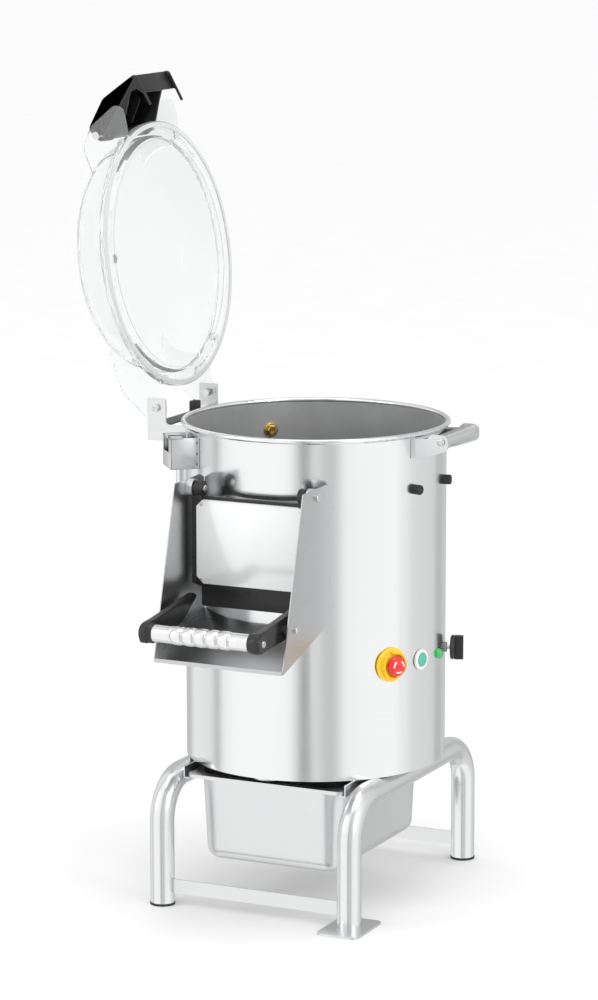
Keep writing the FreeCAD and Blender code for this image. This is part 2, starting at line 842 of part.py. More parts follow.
def chute_shell():
    """Folded steel chute: two cheeks, a sloping floor and a lip at the front."""
    body = new_body("chute_shell")
    cheek = [
        ("-sqrt(drum_radius ^ 2 - chute_half_width ^ 2) - 0.8", "chute_root_height"),
        ("-sqrt(drum_radius ^ 2 - chute_half_width ^ 2) - 0.8", "chute_top - 5"),
        ("-sqrt(drum_radius ^ 2 - chute_half_width ^ 2) - 16", "chute_top + 2"),
        ("-chute_front_top", "chute_top", "4"),
        ("-chute_lip", "chute_lip_height", "3"),
    ]
    for side, flip in ((-1, True), (1, False)):
        pad(body, "YZ_Plane", "%d * chute_half_width" % side, cheek, "sheet", flip=flip)
    floor_slope = "(chute_root_height - chute_lip_height) / (chute_lip - 193)"
    pad(body, "YZ_Plane", None, [
        ("-chute_lip", "chute_lip_height"),
        ("-chute_lip", "chute_lip_height + chute_floor_rise"),
        ("-chute_lip + sheet", "chute_lip_height + chute_floor_rise"),
        ("-chute_lip + sheet", "chute_lip_height + sheet"),
        ("-196", "chute_root_height + sheet"),
        ("-196", "chute_root_height - 1"),
    ], "2 * chute_half_width + 1", both=True)
    turn(body, box_corners("0", "chute_lip_height - 5", "drum_radius + 0.3", "chute_top + 10"), kind="Groove")


def door_frame():
    """Square steel tunnel from the drum's mouth to the flat face that the door closes on."""
    body = new_body("door_frame")
    pad(body, "XZ_Plane", "frame_face", box_corners(
        "-chute_mouth_half - frame_wall", "chute_mouth_low - frame_wall",
        "chute_mouth_half + frame_wall", "chute_mouth_high + frame_wall", "14 + frame_wall"),
        "frame_face - 195", flip=True)
    pocket(body, "XZ_Plane", "frame_face + 1", box_corners(
        "-chute_mouth_half", "chute_mouth_low", "chute_mouth_half", "chute_mouth_high", "14"),
        "60")
    turn(body, box_corners("0", "chute_mouth_low - 20", "drum_radius + 0.3", "chute_mouth_high + 20"),
         kind="Groove")


def door_panel():
    """Black door slab that hangs from the axle, with an eye along its top edge."""
    body = new_body("door_panel")
    back = "frame_face + seal_thick"
    pad(body, "XZ_Plane", back, box_corners(
        "-door_half_width", "door_low", "door_half_width", "door_high", "6"), "door_thick")
    eye = sketch_on(body, "YZ_Plane")
    draw_circle(eye, "-axle_reach", "axle_height", "axle_radius + 4")
    extrude(body, "Pad", eye, "2 * (door_half_width - 8)", both=True)
    bore(body, "YZ_Plane", None, "-axle_reach", "axle_height", "axle_radius + pin_gap",
         "2 * door_half_width + 10", both=True)


def door_plate():
    """Bright steel plate with clipped corners on the front of the door."""
    body = new_body("door_plate")
    half = "door_half_width - 4"
    pad(body, "XZ_Plane", "frame_face + seal_thick + door_thick", [
        ("-(%s) + door_plate_clip" % half, "door_plate_low"),
        ("%s - door_plate_clip" % half, "door_plate_low"),
        (half, "door_plate_low + door_plate_clip"),
        (half, "door_plate_high - door_plate_clip"),
        ("%s - door_plate_clip" % half, "door_plate_high"),
        ("-(%s) + door_plate_clip" % half, "door_plate_high"),
        ("-(%s)" % half, "door_plate_high - door_plate_clip"),
        ("-(%s)" % half, "door_plate_low + door_plate_clip"),
    ], "door_plate_thick")


def door_rivets():
    """Domed rivets near the corners of the door plate."""
    body = new_body("door_rivets")
    face = "frame_face + seal_thick + door_thick + door_plate_thick"
    heads = []
    for x in (-1, 1):
        for z in ("door_plate_low + 11", "door_plate_high - 9"):
            heads.append(pad_round(body, "XZ_Plane", face, "%d * (door_half_width - 14)" % x, z, "4", "1.8"))


def door_seal():
    """Rubber seal ring between the door and the tunnel face."""
    body = new_body("door_seal")
    sketch = sketch_on(body, "XZ_Plane", "frame_face + 0.3")
    draw_outline(sketch, box_corners("-chute_mouth_half - 5", "chute_mouth_low + 1 - 1",
                                     "chute_mouth_half + 5", "chute_mouth_high + 5", "18"))
    draw_outline(sketch, box_corners("-chute_mouth_half + 6", "chute_mouth_low + 12",
                                     "chute_mouth_half - 6", "chute_mouth_high - 6", "8"))
    extrude(body, "Pad", sketch, "seal_thick - 0.3")


def door_axle():
    """Round bar across the chute that the door swings on."""
    body = new_body("door_axle")
    pad_round(body, "YZ_Plane", None, "-axle_reach", "axle_height", "axle_radius",
              "2 * (chute_half_width - 0.1)", both=True)


def axle_bosses():
    """Black bushes with a bolt boss that carry the axle inside the cheeks."""
    body = new_body("axle_bosses")
    inside = "chute_half_width - 0.3"
    for side, flip in ((-1, False), (1, True)):
        sketch = sketch_on(body, "YZ_Plane", "%d * (%s)" % (side, inside))
        draw_circle(sketch, "-axle_reach", "axle_height", "15")
        draw_circle(sketch, "-axle_reach", "axle_height", "axle_radius + 0.02")
        extrude(body, "Pad", sketch, "12", flip=flip)


def lever_arms():
    """Two deep plastic arms from the grip past the pivot to the lower edge of the door."""
    body = new_body("lever_arms")
    inner = "lever_half_width - lever_arm_thick"
    arm = pad(body, "YZ_Plane", inner, [
        ("-grip_reach - 18", "grip_height - 12", "8"),
        ("-lever_pivot_reach - 10", "lever_pivot_height - 15", "8"),
        ("-lever_pivot_reach + 14", "lever_pivot_height - 12", "8"),
        ("-262", "lever_pivot_height + 36", "5"),
        ("-258", "lever_pivot_height + 56", "5"),
        ("-272", "lever_pivot_height + 64", "6"),
        ("-grip_reach + 22", "grip_height + 20", "20"),
        ("-grip_reach - 18", "grip_height + 16", "10"),
    ], "lever_arm_thick")
    pivot = bore(body, "YZ_Plane", inner + " - 1", "-lever_pivot_reach", "lever_pivot_height",
                 "lever_rod_radius + pin_gap", "lever_arm_thick + 2", flip=True)
    copy_across(body, "YZ_Plane", [arm, pivot])


def lever_grip():
    """Round grip with five finger lobes between plain ends."""
    body = new_body("lever_grip")
    half = "(lever_half_width - lever_arm_thick - 0.1)"
    lobe = "(grip_lobes_half * 2 / grip_lobes)"
    outline = [("-" + half, "0"), ("-" + half, "grip_radius - 1", "1"), ("-grip_lobes_half", "grip_radius - 1", "4")]
    for i in range(int(number("grip_lobes"))):
        middle = "-grip_lobes_half + %s * %.1f" % (lobe, i + 0.5)
        outline.append((middle + " - %s / 4" % lobe, "grip_radius + grip_lobe_rise", "9"))
        outline.append((middle + " + %s / 4" % lobe, "grip_radius + grip_lobe_rise", "9"))
        if i < number("grip_lobes") - 1:
            outline.append((middle + " + %s / 2" % lobe, "grip_radius - 1.5", "5"))
    outline += [("grip_lobes_half", "grip_radius - 1", "4"), (half, "grip_radius - 1", "1"), (half, "0")]
    turn(body, outline, axis="H_Axis")
    body.Placement = Placement(Vector(0, -number("grip_reach"), number("grip_height")), Rotation())


def lever_rod():
    """Round bar through both cheeks that the lever swings on."""
    body = new_body("lever_rod")
    pad_round(body, "YZ_Plane", None, "-lever_pivot_reach", "lever_pivot_height", "lever_rod_radius",
              "2 * (chute_half_width - 0.1)", both=True)


def grip_bolts():
    """Bolt heads on the outside of the arms, in line with the grip."""
    body = new_body("grip_bolts")
    head = pad_round(body, "YZ_Plane", "lever_half_width", "-grip_reach", "grip_height", "5.5", "3")
    copy_across(body, "YZ_Plane", [head])


def chute_screws():
    """Screw heads on the outside of the cheeks, at the door axle and the lever rod."""
    body = new_body("chute_screws")
    heads = [
        pad_round(body, "YZ_Plane", "chute_half_width + sheet", "-axle_reach", "axle_height", "6.5", "3.5"),
        pad_round(body, "YZ_Plane", "chute_half_width + sheet", "-lever_pivot_reach",
                  "lever_pivot_height", "6.5", "3.5"),
    ]
    copy_across(body, "YZ_Plane", heads)


chute_shell()
door_frame()
door_panel()
door_plate()
door_rivets()
door_seal()
door_axle()
axle_bosses()
lever_arms()
lever_grip()
lever_rod()
grip_bolts()
chute_screws()


# Hinge side

def hinge_ears():
    """Two L-shaped sheet ears that reach from the drum up to the hinge bolts."""
    body = new_body("hinge_ears")
    wall = "-sqrt(drum_radius ^ 2 - (ear_offset + ear_thick) ^ 2)"
    rear = "-hinge_reach - ear_width / 2"
    front = "-hinge_reach + ear_width / 2"
    ear = pad(body, "XZ_Plane", "ear_offset", [
        (rear, "ear_low", "2"),
        (rear, "ear_top", "2"),
        (front, "ear_top", "2"),
        (front, "ear_low + 30", "6"),
        (wall, "ear_low + 30"),
        (wall, "ear_low", "2"),
    ], "ear_thick")
    hole = bore(body, "XZ_Plane", "ear_offset - 1", "-hinge_reach", "hinge_height",
                "hinge_bolt_radius + 0.02", "ear_thick + 2", flip=True)
    copy_across(body, "XZ_Plane", [ear, hole])
    turn(body, box_corners("0", "ear_low - 5", "drum_radius + 0.3", "ear_top + 5"), kind="Groove")


def hinge_bolts():
    """Bolts with round heads that the lid swings on."""
    body = new_body("hinge_bolts")
    shank = pad_round(body, "XZ_Plane", "fin_offset - fin_thick / 2 - 4", "-hinge_reach", "hinge_height",
                      "hinge_bolt_radius", "ear_offset + ear_thick - fin_offset + fin_thick / 2 + 4")
    head = pad_round(body, "XZ_Plane", "ear_offset + ear_thick", "-hinge_reach", "hinge_height", "7", "4")
    nut = pad_round(body, "XZ_Plane", "fin_offset - fin_thick / 2 - 5.5", "-hinge_reach", "hinge_height",
                    "6.5", "5")
    copy_across(body, "XZ_Plane", [shank, head, nut])


def switch_box():
    """Folded sheet box on the drum beside the hinge, for the lid's safety switch."""
    body = new_body("switch_box")
    rear = "-switch_box_front + switch_box_depth"
    pad(body, "XY_Plane", "switch_box_low", box_corners(
        "-switch_box_reach", "-switch_box_front", "-110", rear, ), "switch_box_high - switch_box_low")
    pocket(body, "XY_Plane", "switch_box_high + 1", box_corners(
        "-switch_box_reach + sheet", "-switch_box_front + sheet", "-100", rear + " - sheet"),
        "switch_box_high - switch_box_low - sheet + 1")
    pocket(body, "YZ_Plane", "-switch_box_reach - 1", box_corners(
        "-switch_box_front + 6", "switch_box_high - 22", rear + " - 6", "switch_box_high + 1"), "sheet + 2",
        flip=True)
    turn(body, box_corners("0", "switch_box_low - 5", "drum_radius + 0.3", "switch_box_high + 5"), kind="Groove")


def conduit_pipe():
    """Tube that carries the switch wires from the box down into the motor space."""
    body = new_body("conduit_pipe")
    x = "-switch_box_reach + 14"
    y = "-switch_box_front + 16"
    for shift in ("0", "14"):
        pad_round(body, "XY_Plane", "conduit_low", x + " - " + shift + " / 7", y + " + " + shift,
                  "conduit_radius", "switch_box_low - conduit_low - 0.1")


def latch_bracket():
    """Channel on the drum opposite the hinge, with rounded ears for the latch bar."""
    body = new_body("latch_bracket")
    wall = "sqrt(drum_radius ^ 2 - (latch_ear_offset + latch_ear_thick) ^ 2)"
    ear = pad(body, "XZ_Plane", "latch_ear_offset", [
        (wall, "latch_bar_height - 30"),
        (wall + " + 18", "latch_bar_height - 30"),
        ("latch_bar_reach + 12", "latch_bar_height - 14", "10"),
        ("latch_bar_reach + 12", "latch_bar_height + 12", "11"),
        ("latch_bar_reach - 18", "latch_bar_height + 12", "6"),
        ("latch_bar_reach - 26", "latch_bar_height + 4", "6"),
        (wall, "latch_bar_height + 3"),
    ], "latch_ear_thick")
    copy_across(body, "XZ_Plane", [ear])
    pad(body, "YZ_Plane", "drum_radius + 1", box_corners(
        "-latch_ear_offset - latch_ear_thick / 2", "latch_bar_height - 30",
        "latch_ear_offset + latch_ear_thick / 2", "latch_bar_height - 2"), "latch_ear_thick")
    turn(body, box_corners("0", "latch_bar_height - 40", "drum_radius + 0.3", "latch_bar_height + 20"),
         kind="Groove")


def latch_bar():
    """Round steel bar between the ears, which the lid's hook catches."""
    body = new_body("latch_bar")
    pad_round(body, "XZ_Plane", None, "latch_bar_reach", "latch_bar_height", "latch_bar_radius",
              "2 * (latch_ear_offset - 0.05)", both=True)


def latch_bolts():
    """Bolt heads on the outside of the latch ears."""
    body = new_body("latch_bolts")
    head = pad_round(body, "XZ_Plane", "latch_ear_offset + latch_ear_thick", "latch_bar_reach",
                     "latch_bar_height", "6", "3")
    copy_across(body, "XZ_Plane", [head])


def rubber_stubs():
    """Two black rubber buffers on the drum below the latch."""
    body = new_body("rubber_stubs")
    stub = turn(body, [
        ("drum_radius + 0.1", "0"),
        ("drum_radius + 0.1", "stub_radius"),
        ("drum_radius + stub_length", "stub_radius", "1.5"),
        ("drum_radius + stub_length", "0"),
    ], axis="H_Axis")
    pattern = copy_round(body, [stub], "2")
    pattern.setExpression("Angle", bound("stub_angle_rear - stub_angle"))
    on_drum(body, "stub_angle", "stub_height")


hinge_ears()
hinge_bolts()
switch_box()
conduit_pipe()
latch_bracket()
latch_bar()
latch_bolts()
rubber_stubs()


# Lid, drawn as if closed with its centre on the origin, then swung open about the hinge

def open_lid(body):
    """Swings a body of the lid from closed to the open rest pose."""
    hinge = Placement(Vector(-number("hinge_reach"), 0, number("hinge_height")),
                      Rotation(Vector(0, 1, 0), -number("lid_open")))
    centre = Vector(number("hinge_reach"), 0, number("lid_seat - hinge_height"))
    body.Placement = hinge.multiply(Placement(centre, Rotation()))


def draw_dome(sketch, wall, low_corners):
    """Half section: straight corners at the flange, then a shoulder arc and a crown arc to the axis."""
    wall_text = " - " + wall if wall != "0" else ""
    low = [(c[0], c[1]) for c in low_corners]
    side = ("lid_side_radius" + wall_text, "lid_side_rise")
    shoulder = ("lid_shoulder_radius", "lid_shoulder_rise" + wall_text)
    crown = ("0", "lid_crown_rise" + wall_text)
    foot = ("0", low[0][1])
    points = [Vector(number(x), number(y), 0) for x, y in [foot] + low + [side, shoulder, crown]]
    names = [foot] + low + [side, shoulder, crown]
    held = []
    edges = []
    count = len(points)
    for i in range(count):
        a, b = points[i], points[(i + 1) % count]
        if i == count - 3:
            text = "lid_shoulder_arc" + wall_text
            radius = number(text)
            chord = b - a
            inward = Vector(-chord.y, chord.x, 0).normalize()
            centre = (a + b) * 0.5 + inward * math.sqrt(radius ** 2 - (chord.Length / 2) ** 2)
            angles = [math.atan2((p - centre).y, (p - centre).x) for p in (a, b)]
            edge = sketch.addGeometry(Part.ArcOfCircle(Part.Circle(centre, UP, radius), *angles), False)
            held.append((Sketcher.Constraint("Radius", edge, radius), text))
        elif i == count - 2:
            sag = b.y - a.y
            radius = (a.x ** 2 + sag ** 2) / (2 * sag)
            centre = Vector(0, b.y - radius, 0)
            angles = [math.atan2((p - centre).y, (p - centre).x) for p in (a, b)]
            edge = sketch.addGeometry(Part.ArcOfCircle(Part.Circle(centre, UP, radius), *angles), False)
            held.append((Sketcher.Constraint("PointOnObject", edge, 3, -2), None))
        else:
            edge = sketch.addGeometry(Part.LineSegment(a, b), False)
        edges.append(edge)
    for i in range(count):
        held.append((Sketcher.Constraint("Coincident", edges[i - 1], 2, edges[i], 1), None))
        held += pin_point(edges[i], 1, names[i][0], names[i][1])
    tie(sketch, held)


def spin_sketch(body, sketch, kind):
    feature = body.newObject("PartDesign::" + kind, body.Label + "_" + kind.lower())
    feature.Profile = sketch
    feature.ReferenceAxis = (sketch, ["V_Axis"])
    feature.Angle = 360
    return feature


def lid_shell():
    """Clear moulded dome with a stepped flange, two fins for the latch and two arms for the hinge."""
    body = new_body("lid_shell")
    outer = sketch_on(body, "XZ_Plane")
    draw_dome(outer, "0", [
        ("lid_radius", "0"),
        ("lid_radius", "lid_flange"),
        ("lid_step_radius", "lid_flange"),
        ("lid_step_radius", "lid_step_rise"),
        ("lid_side_radius", "lid_step_rise"),
    ])
    spin_sketch(body, outer, "Revolution")
    base = "fin_offset - fin_thick / 2"
    latch_fin = pad(body, "XZ_Plane", base, [
        ("lid_side_radius - 60", "2"),
        ("lid_radius", "0.5"),
        ("lid_radius + 30", "4", "8"),
        ("lid_radius + 38", "18", "12"),
        ("lid_radius + 6", "70", "24"),
        ("lid_radius - 28", "92", "24"),
        ("lid_shoulder_radius", "78", "10"),
        ("lid_shoulder_radius - 40", "60"),
    ], "fin_thick")
    hinge_arm = pad(body, "XZ_Plane", base, [
        ("-lid_side_radius + 60", "2"),
        ("-lid_radius", "0.5"),
        ("-hinge_reach + 10", "-4", "8"),
        ("-hinge_reach - 17", "-6", "16"),
        ("-hinge_reach - 24", "30", "24"),
        ("-lid_radius + 4", "78", "40"),
        ("-lid_shoulder_radius - 10", "92", "16"),
        ("-lid_shoulder_radius + 40", "70"),
    ], "fin_thick")
    pin_hole = bore(body, "XZ_Plane", base + " - 1", "latch_pin_reach", "latch_pin_rise",
                    "latch_pin_radius + 0.02", "fin_thick + 2", flip=True)
    bolt_hole = bore(body, "XZ_Plane", base + " - 1", "-hinge_reach", "hinge_height - lid_seat",
                     "hinge_bolt_radius + pin_gap", "fin_thick + 2", flip=True)
    copy_across(body, "XZ_Plane", [latch_fin, hinge_arm, pin_hole, bolt_hole])
    cavity = sketch_on(body, "XZ_Plane")
    draw_dome(cavity, "lid_wall", [("lid_side_radius - lid_wall", "-1")])
    spin_sketch(body, cavity, "Groove")
    open_lid(body)


def lid_seal():
    """Soft ring in the underside of the flange that lands on the drum's rim."""
    body = new_body("lid_seal")
    turn(body, box_corners("lid_step_radius + 2", "-1.7", "lid_step_radius + 10", "0"))
    open_lid(body)


def latch_pin():
    """Pin through both fins that the latch handle swings on."""
    body = new_body("latch_pin")
    pad_round(body, "XZ_Plane", None, "latch_pin_reach", "latch_pin_rise", "latch_pin_radius",
              "2 * (fin_offset + fin_thick / 2 + 3)", both=True)
    head = pad_round(body, "XZ_Plane", "fin_offset + fin_thick / 2 + 0.1", "latch_pin_reach",
                     "latch_pin_rise", "7", "3")
    copy_across(body, "XZ_Plane", [head])
    open_lid(body)


def latch_handle():
    """Curved black hook that swings on the pin and catches the latch bar."""
    body = new_body("latch_handle")
    sketch = sketch_on(body, "XZ_Plane")
    reach = "latch_pin_reach"
    rise = "latch_pin_rise"
    draw_outline(sketch, [
        (reach + " - 12", rise + " - 10", "9"),
        (reach + " + 14", rise + " - 12", "6"),
        (reach + " + 50", rise + " - 14", "20"),
        (reach + " + 88", rise + " - 66", "6"),
        (reach + " + 58", rise + " - 83", "3"),
        (reach + " + 60", rise + " - 90", "3"),
        (reach + " + 100", rise + " - 74", "8"),
        (reach + " + 62", rise + " - 2", "24"),
        (reach + " + 12", rise + " + 34", "10"),
        (reach + " - 12", rise + " + 14", "10"),
    ])
    extrude(body, "Pad", sketch, "2 * latch_half_width", both=True)
    bore(body, "XZ_Plane", None, reach, rise, "latch_pin_radius + pin_gap", "2 * latch_half_width + 10",
         both=True)
    open_lid(body)


def vent_plug():
    """Small grey plug in the crown of the dome."""
    body = new_body("vent_plug")
    turn(body, [
        ("0", "lid_crown_rise + 0.1"),
        ("vent_radius", "lid_crown_rise + 0.1"),
        ("vent_radius", "lid_crown_rise + 2"),
        ("vent_radius - 2", "lid_crown_rise + 3.5"),
        ("0", "lid_crown_rise + 3.5"),
    ])
    open_lid(body)


lid_shell()
lid_seal()
latch_pin()
latch_handle()
vent_plug()


# Controls and services, drawn with the drum's axis as their own and +X outward

def stop_plate():
    """Yellow base of the emergency stop with a raised collar."""
    body = new_body("stop_plate")
    face = "drum_radius + 0.3"
    turn(body, [
        ("drum_radius - drum_wall - 14", "6"),
        ("drum_radius - drum_wall - 14", "button_hole - 0.3"),
        (face, "button_hole - 0.3"),
        (face, "stop_plate_radius"),
        (face + " + stop_plate_thick", "stop_plate_radius", "1.5"),
        (face + " + stop_plate_thick", "stop_head_radius + 6"),
        (face + " + stop_plate_thick + 4", "stop_head_radius + 3"),
        (face + " + stop_plate_thick + 4", "6"),
    ], axis="H_Axis")
    on_drum(body, "stop_angle", "panel_height")


def stop_head():
    """Red mushroom head of the emergency stop on its stem."""
    body = new_body("stop_head")
    start = "drum_radius + stop_plate_thick + 10"
    turn(body, [
        (start + " - 26", "0"),
        (start + " - 26", "5.9"),
        (start, "5.9"),
        (start, "stop_head_radius - 4"),
        (start + " + 5", "stop_head_radius", "2"),
        (start + " + 11", "stop_head_radius", "5"),
        (start + " + 14", "0"),
    ], axis="H_Axis")
    on_drum(body, "stop_angle", "panel_height")


def start_bezel():
    """Round bezel of the start button, with its threaded neck through the drum wall."""
    body = new_body("start_bezel")
    face = "drum_radius + 0.3"
    turn(body, [
        ("drum_radius - drum_wall - 14", "start_cap_radius + 0.1"),
        ("drum_radius - drum_wall - 14", "button_hole - 0.3"),
        (face, "button_hole - 0.3"),
        (face, "start_bezel_radius"),
        (face + " + 3.5", "start_bezel_radius", "1.5"),
        (face + " + 5", "start_cap_radius + 2"),
        (face + " + 5", "start_cap_radius + 0.1"),
    ], axis="H_Axis")
    on_drum(body, "start_angle", "panel_height")


def start_cap():
    """Green push cap of the start button."""
    body = new_body("start_cap")
    turn(body, [
        ("drum_radius - drum_wall - 8", "0"),
        ("drum_radius - drum_wall - 8", "start_cap_radius"),
        ("drum_radius + 6.5", "start_cap_radius", "1"),
        ("drum_radius + 6.5", "0"),
    ], axis="H_Axis")
    on_drum(body, "start_angle", "panel_height")


def run_lamp():
    """Green domed indicator lamp."""
    body = new_body("run_lamp")
    face = "drum_radius + 0.1"
    turn(body, [
        ("drum_radius - drum_wall - 12", "0"),
        ("drum_radius - drum_wall - 12", "lamp_radius - 2.3"),
        (face, "lamp_radius - 2.3"),
        (face, "lamp_radius"),
        (face + " + 3", "lamp_radius", "1"),
        (face + " + 8", "lamp_radius - 3", "2"),
        (face + " + 8.5", "0"),
    ], axis="H_Axis")
    on_drum(body, "lamp_angle", "panel_height")


def timer_knob():
    """Black timer knob with a grip bar, and the shaft that it is fixed on."""
    body = new_body("timer_knob")
    start = "drum_radius + 11"
    turn(body, [
        (start, "0"),
        (start, "knob_radius - 2"),
        (start + " + 3", "knob_radius", "1"),
        (start + " + 8", "knob_radius - 2", "2"),
        (start + " + 8", "0"),
    ], axis="H_Axis")
    pad(body, "XY_Plane", "-knob_radius + 1", [
        (start + " + 7", "-5.5"),
        (start + " + 22", "-4.5", "2"),
        (start + " + 22", "4.5", "2"),
        (start + " + 7", "5.5"),
    ], "2 * knob_radius - 2")
    on_drum(body, "knob_angle", "panel_height")


def timer_shaft():
    """Grey metal shaft of the timer, turning with the knob."""
    body = new_body("timer_shaft")
    turn(body, box_corners("drum_radius - 20", "0", "drum_radius + 10.9", "knob_shaft_radius"), axis="H_Axis")
    on_drum(body, "knob_angle", "panel_height")


def contact_blocks():
    """Timer body behind the drum wall, with the neck and nut that hold it and guide its shaft."""
    body = new_body("contact_blocks")
    inner = "drum_radius - drum_wall"
    pad(body, "XY_Plane", "-20", box_corners(inner + " - 58", "-17", inner + " - 3", "17", "3"), "40")
    turn(body, [
        (inner + " - 4", "0"),
        (inner + " - 4", "knob_shaft_radius + 1.9"),
        ("drum_radius + 0.6", "knob_shaft_radius + 1.9"),
        ("drum_radius + 0.6", "9"),
        ("drum_radius + 4", "9"),
        ("drum_radius + 4", "0"),
    ], axis="H_Axis")
    turn(body, box_corners("drum_radius - 21", "0", "drum_radius + 5", "knob_shaft_radius + pin_gap"),
         axis="H_Axis", kind="Groove")
    on_drum(body, "knob_angle", "panel_height")


def spray_nozzle():
    """Brass nozzle inside the drum that sprays water over the potatoes, with its tail outside."""
    body = new_body("spray_nozzle")
    turn(body, [
        ("drum_radius - drum_wall - 14", "0"),
        ("drum_radius - drum_wall - 14", "5"),
        ("drum_radius - drum_wall - 10", "11"),
        ("drum_radius - drum_wall - 0.4", "11"),
        ("drum_radius - drum_wall - 0.4", "6.8"),
        ("drum_radius + 16", "6.8"),
        ("drum_radius + 16", "0"),
    ], axis="H_Axis")
    on_drum(body, "nozzle_angle", "nozzle_height")


def water_inlet():
    """Water connector outside the drum, screwed onto the nozzle's tail."""
    body = new_body("water_inlet")
    turn(body, [
        ("drum_radius + 0.3", "6.85"),
        ("drum_radius + 0.3", "12"),
        ("drum_radius + 18", "12", "1"),
        ("drum_radius + 18", "9"),
        ("drum_radius + 38", "9"),
        ("drum_radius + 38", "5"),
        ("drum_radius + 18", "5"),
        ("drum_radius + 18", "6.85"),
    ], axis="H_Axis")
    on_drum(body, "nozzle_angle", "nozzle_height")


def cable_gland():
    """Cable gland low on the back of the drum."""
    body = new_body("cable_gland")
    turn(body, [
        ("drum_radius - drum_wall - 10", "4.5"),
        ("drum_radius - drum_wall - 10", "7.8"),
        ("drum_radius + 0.3", "7.8"),
        ("drum_radius + 0.3", "12"),
        ("drum_radius + 8", "12", "1"),
        ("drum_radius + 20", "8", "2"),
        ("drum_radius + 20", "4.5"),
    ], axis="H_Axis")
    on_drum(body, "rear_service_angle", "drum_base + 40")


stop_plate()
stop_head()
start_bezel()
start_cap()
run_lamp()
timer_knob()
timer_shaft()
contact_blocks()
spray_nozzle()
water_inlet()
cable_gland()

doc.recompute()

problems = []
for item in doc.Objects:
    if any(word in item.State for word in ("Invalid", "Error")):
        problems.append("%s: %s" % (item.Label, item.State))
for item in doc.Objects:
    if item.TypeId in ("PartDesign::Pocket", "PartDesign::Groove", "PartDesign::SubtractiveCylinder"):
        before = item.BaseFeature
        if before is not None and not item.Shape.isNull():
            if item.Shape.Volume > before.Shape.Volume - 1:
                problems.append("%s cuts nothing" % item.Label)
for body in KEPT:
    if body.Shape.isNull() or not body.Shape.isValid() or not body.Shape.Solids:
        problems.append("%s has no valid solid" % body.Label)
if problems:
    raise RuntimeError("; ".join(problems))

os.makedirs("parts", exist_ok=True)
for body in KEPT:
    body.Shape.exportStep("parts/%s.step" % body.Label)
print(len(KEPT), "sub-parts written")
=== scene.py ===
import json
import math

import bmesh
import bpy
from mathutils import Matrix, Vector


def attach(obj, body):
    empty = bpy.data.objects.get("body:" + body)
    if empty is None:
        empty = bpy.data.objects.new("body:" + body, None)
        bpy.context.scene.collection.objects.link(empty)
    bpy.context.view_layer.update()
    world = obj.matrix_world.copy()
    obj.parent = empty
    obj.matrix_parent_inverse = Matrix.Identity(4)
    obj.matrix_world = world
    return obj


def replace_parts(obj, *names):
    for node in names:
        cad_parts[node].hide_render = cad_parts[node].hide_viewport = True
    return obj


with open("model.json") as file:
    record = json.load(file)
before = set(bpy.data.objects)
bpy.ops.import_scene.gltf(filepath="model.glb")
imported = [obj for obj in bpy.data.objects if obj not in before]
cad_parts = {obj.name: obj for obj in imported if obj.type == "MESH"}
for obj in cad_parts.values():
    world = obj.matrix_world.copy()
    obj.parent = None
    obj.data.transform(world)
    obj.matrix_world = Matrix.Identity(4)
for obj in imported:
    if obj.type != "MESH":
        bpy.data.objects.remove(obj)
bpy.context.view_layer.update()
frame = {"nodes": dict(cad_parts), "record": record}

nodes = frame["nodes"]

# Places that several pieces share, in metres and degrees; the front of the machine looks along -Y

UP = Vector((0, 0, 1))
SIDES = (-1, 1)
FRONT = -90
DRUM_RADIUS = 0.228
DRUM_INSIDE = 0.2252
GRIP_Y, GRIP_Z = -0.437, 0.529
LEVER_PIVOT_Y, LEVER_PIVOT_Z = -0.334, 0.533
DOOR_PIVOT_Y, DOOR_PIVOT_Z = -0.252, 0.743
LID_HINGE_X, LID_HINGE_Z = -0.260, 0.848
LID_HINGE_RISE = 0.012
LID_OPENING = 98
LATCH_PIN_X, LATCH_PIN_Z = 0.2215, 0.062


# Shader groups

def new_group(name, inputs, outputs):
    group = bpy.data.node_groups.new(name, "ShaderNodeTree")
    for label, kind, value in inputs:
        socket = group.interface.new_socket(name=label, in_out="INPUT", socket_type=kind)
        socket.default_value = value
    for label, kind in outputs:
        group.interface.new_socket(name=label, in_out="OUTPUT", socket_type=kind)
    return group, group.nodes.new("NodeGroupInput"), group.nodes.new("NodeGroupOutput")


def node(tree, kind, inputs=(), **settings):
    """A new node whose inputs are linked to sockets or set to constants."""
    made = tree.nodes.new(kind)
    for key, value in settings.items():
        setattr(made, key, value)
    for key, value in dict(inputs).items():
        if isinstance(value, bpy.types.NodeSocket):
            tree.links.new(value, made.inputs[key])
        else:
            made.inputs[key].default_value = value
    return made


def grain_group():
    """Streaks, blotches and a bumped normal, from object coordinates stretched by a vector."""
    group, inp, out = new_group(
        "surface_grain",
        [("Stretch", "NodeSocketVector", (60.0, 60.0, 60.0)),
         ("Blotch Scale", "NodeSocketFloat", 6.0),
         ("Bump", "NodeSocketFloat", 0.05)],
        [("Streak", "NodeSocketFloat"), ("Blotch", "NodeSocketFloat"), ("Normal", "NodeSocketVector")])
    place = node(group, "ShaderNodeTexCoord").outputs["Object"]
    stretched = node(group, "ShaderNodeVectorMath", {0: place, 1: inp.outputs["Stretch"]},
                     operation="MULTIPLY")
    streak = node(group, "ShaderNodeTexNoise",
                  {"Vector": stretched.outputs[0], "Scale": 1.0, "Detail": 6.0, "Roughness": 0.65})
    blotch = node(group, "ShaderNodeTexNoise",
                  {"Vector": place, "Scale": inp.outputs["Blotch Scale"], "Detail": 3.0})
    bump = node(group, "ShaderNodeBump", {"Strength": inp.outputs["Bump"], "Distance": 0.001,
                                          "Height": streak.outputs["Fac"]})
    group.links.new(streak.outputs["Fac"], out.inputs["Streak"])
    group.links.new(blotch.outputs["Fac"], out.inputs["Blotch"])
    group.links.new(bump.outputs["Normal"], out.inputs["Normal"])
    return group


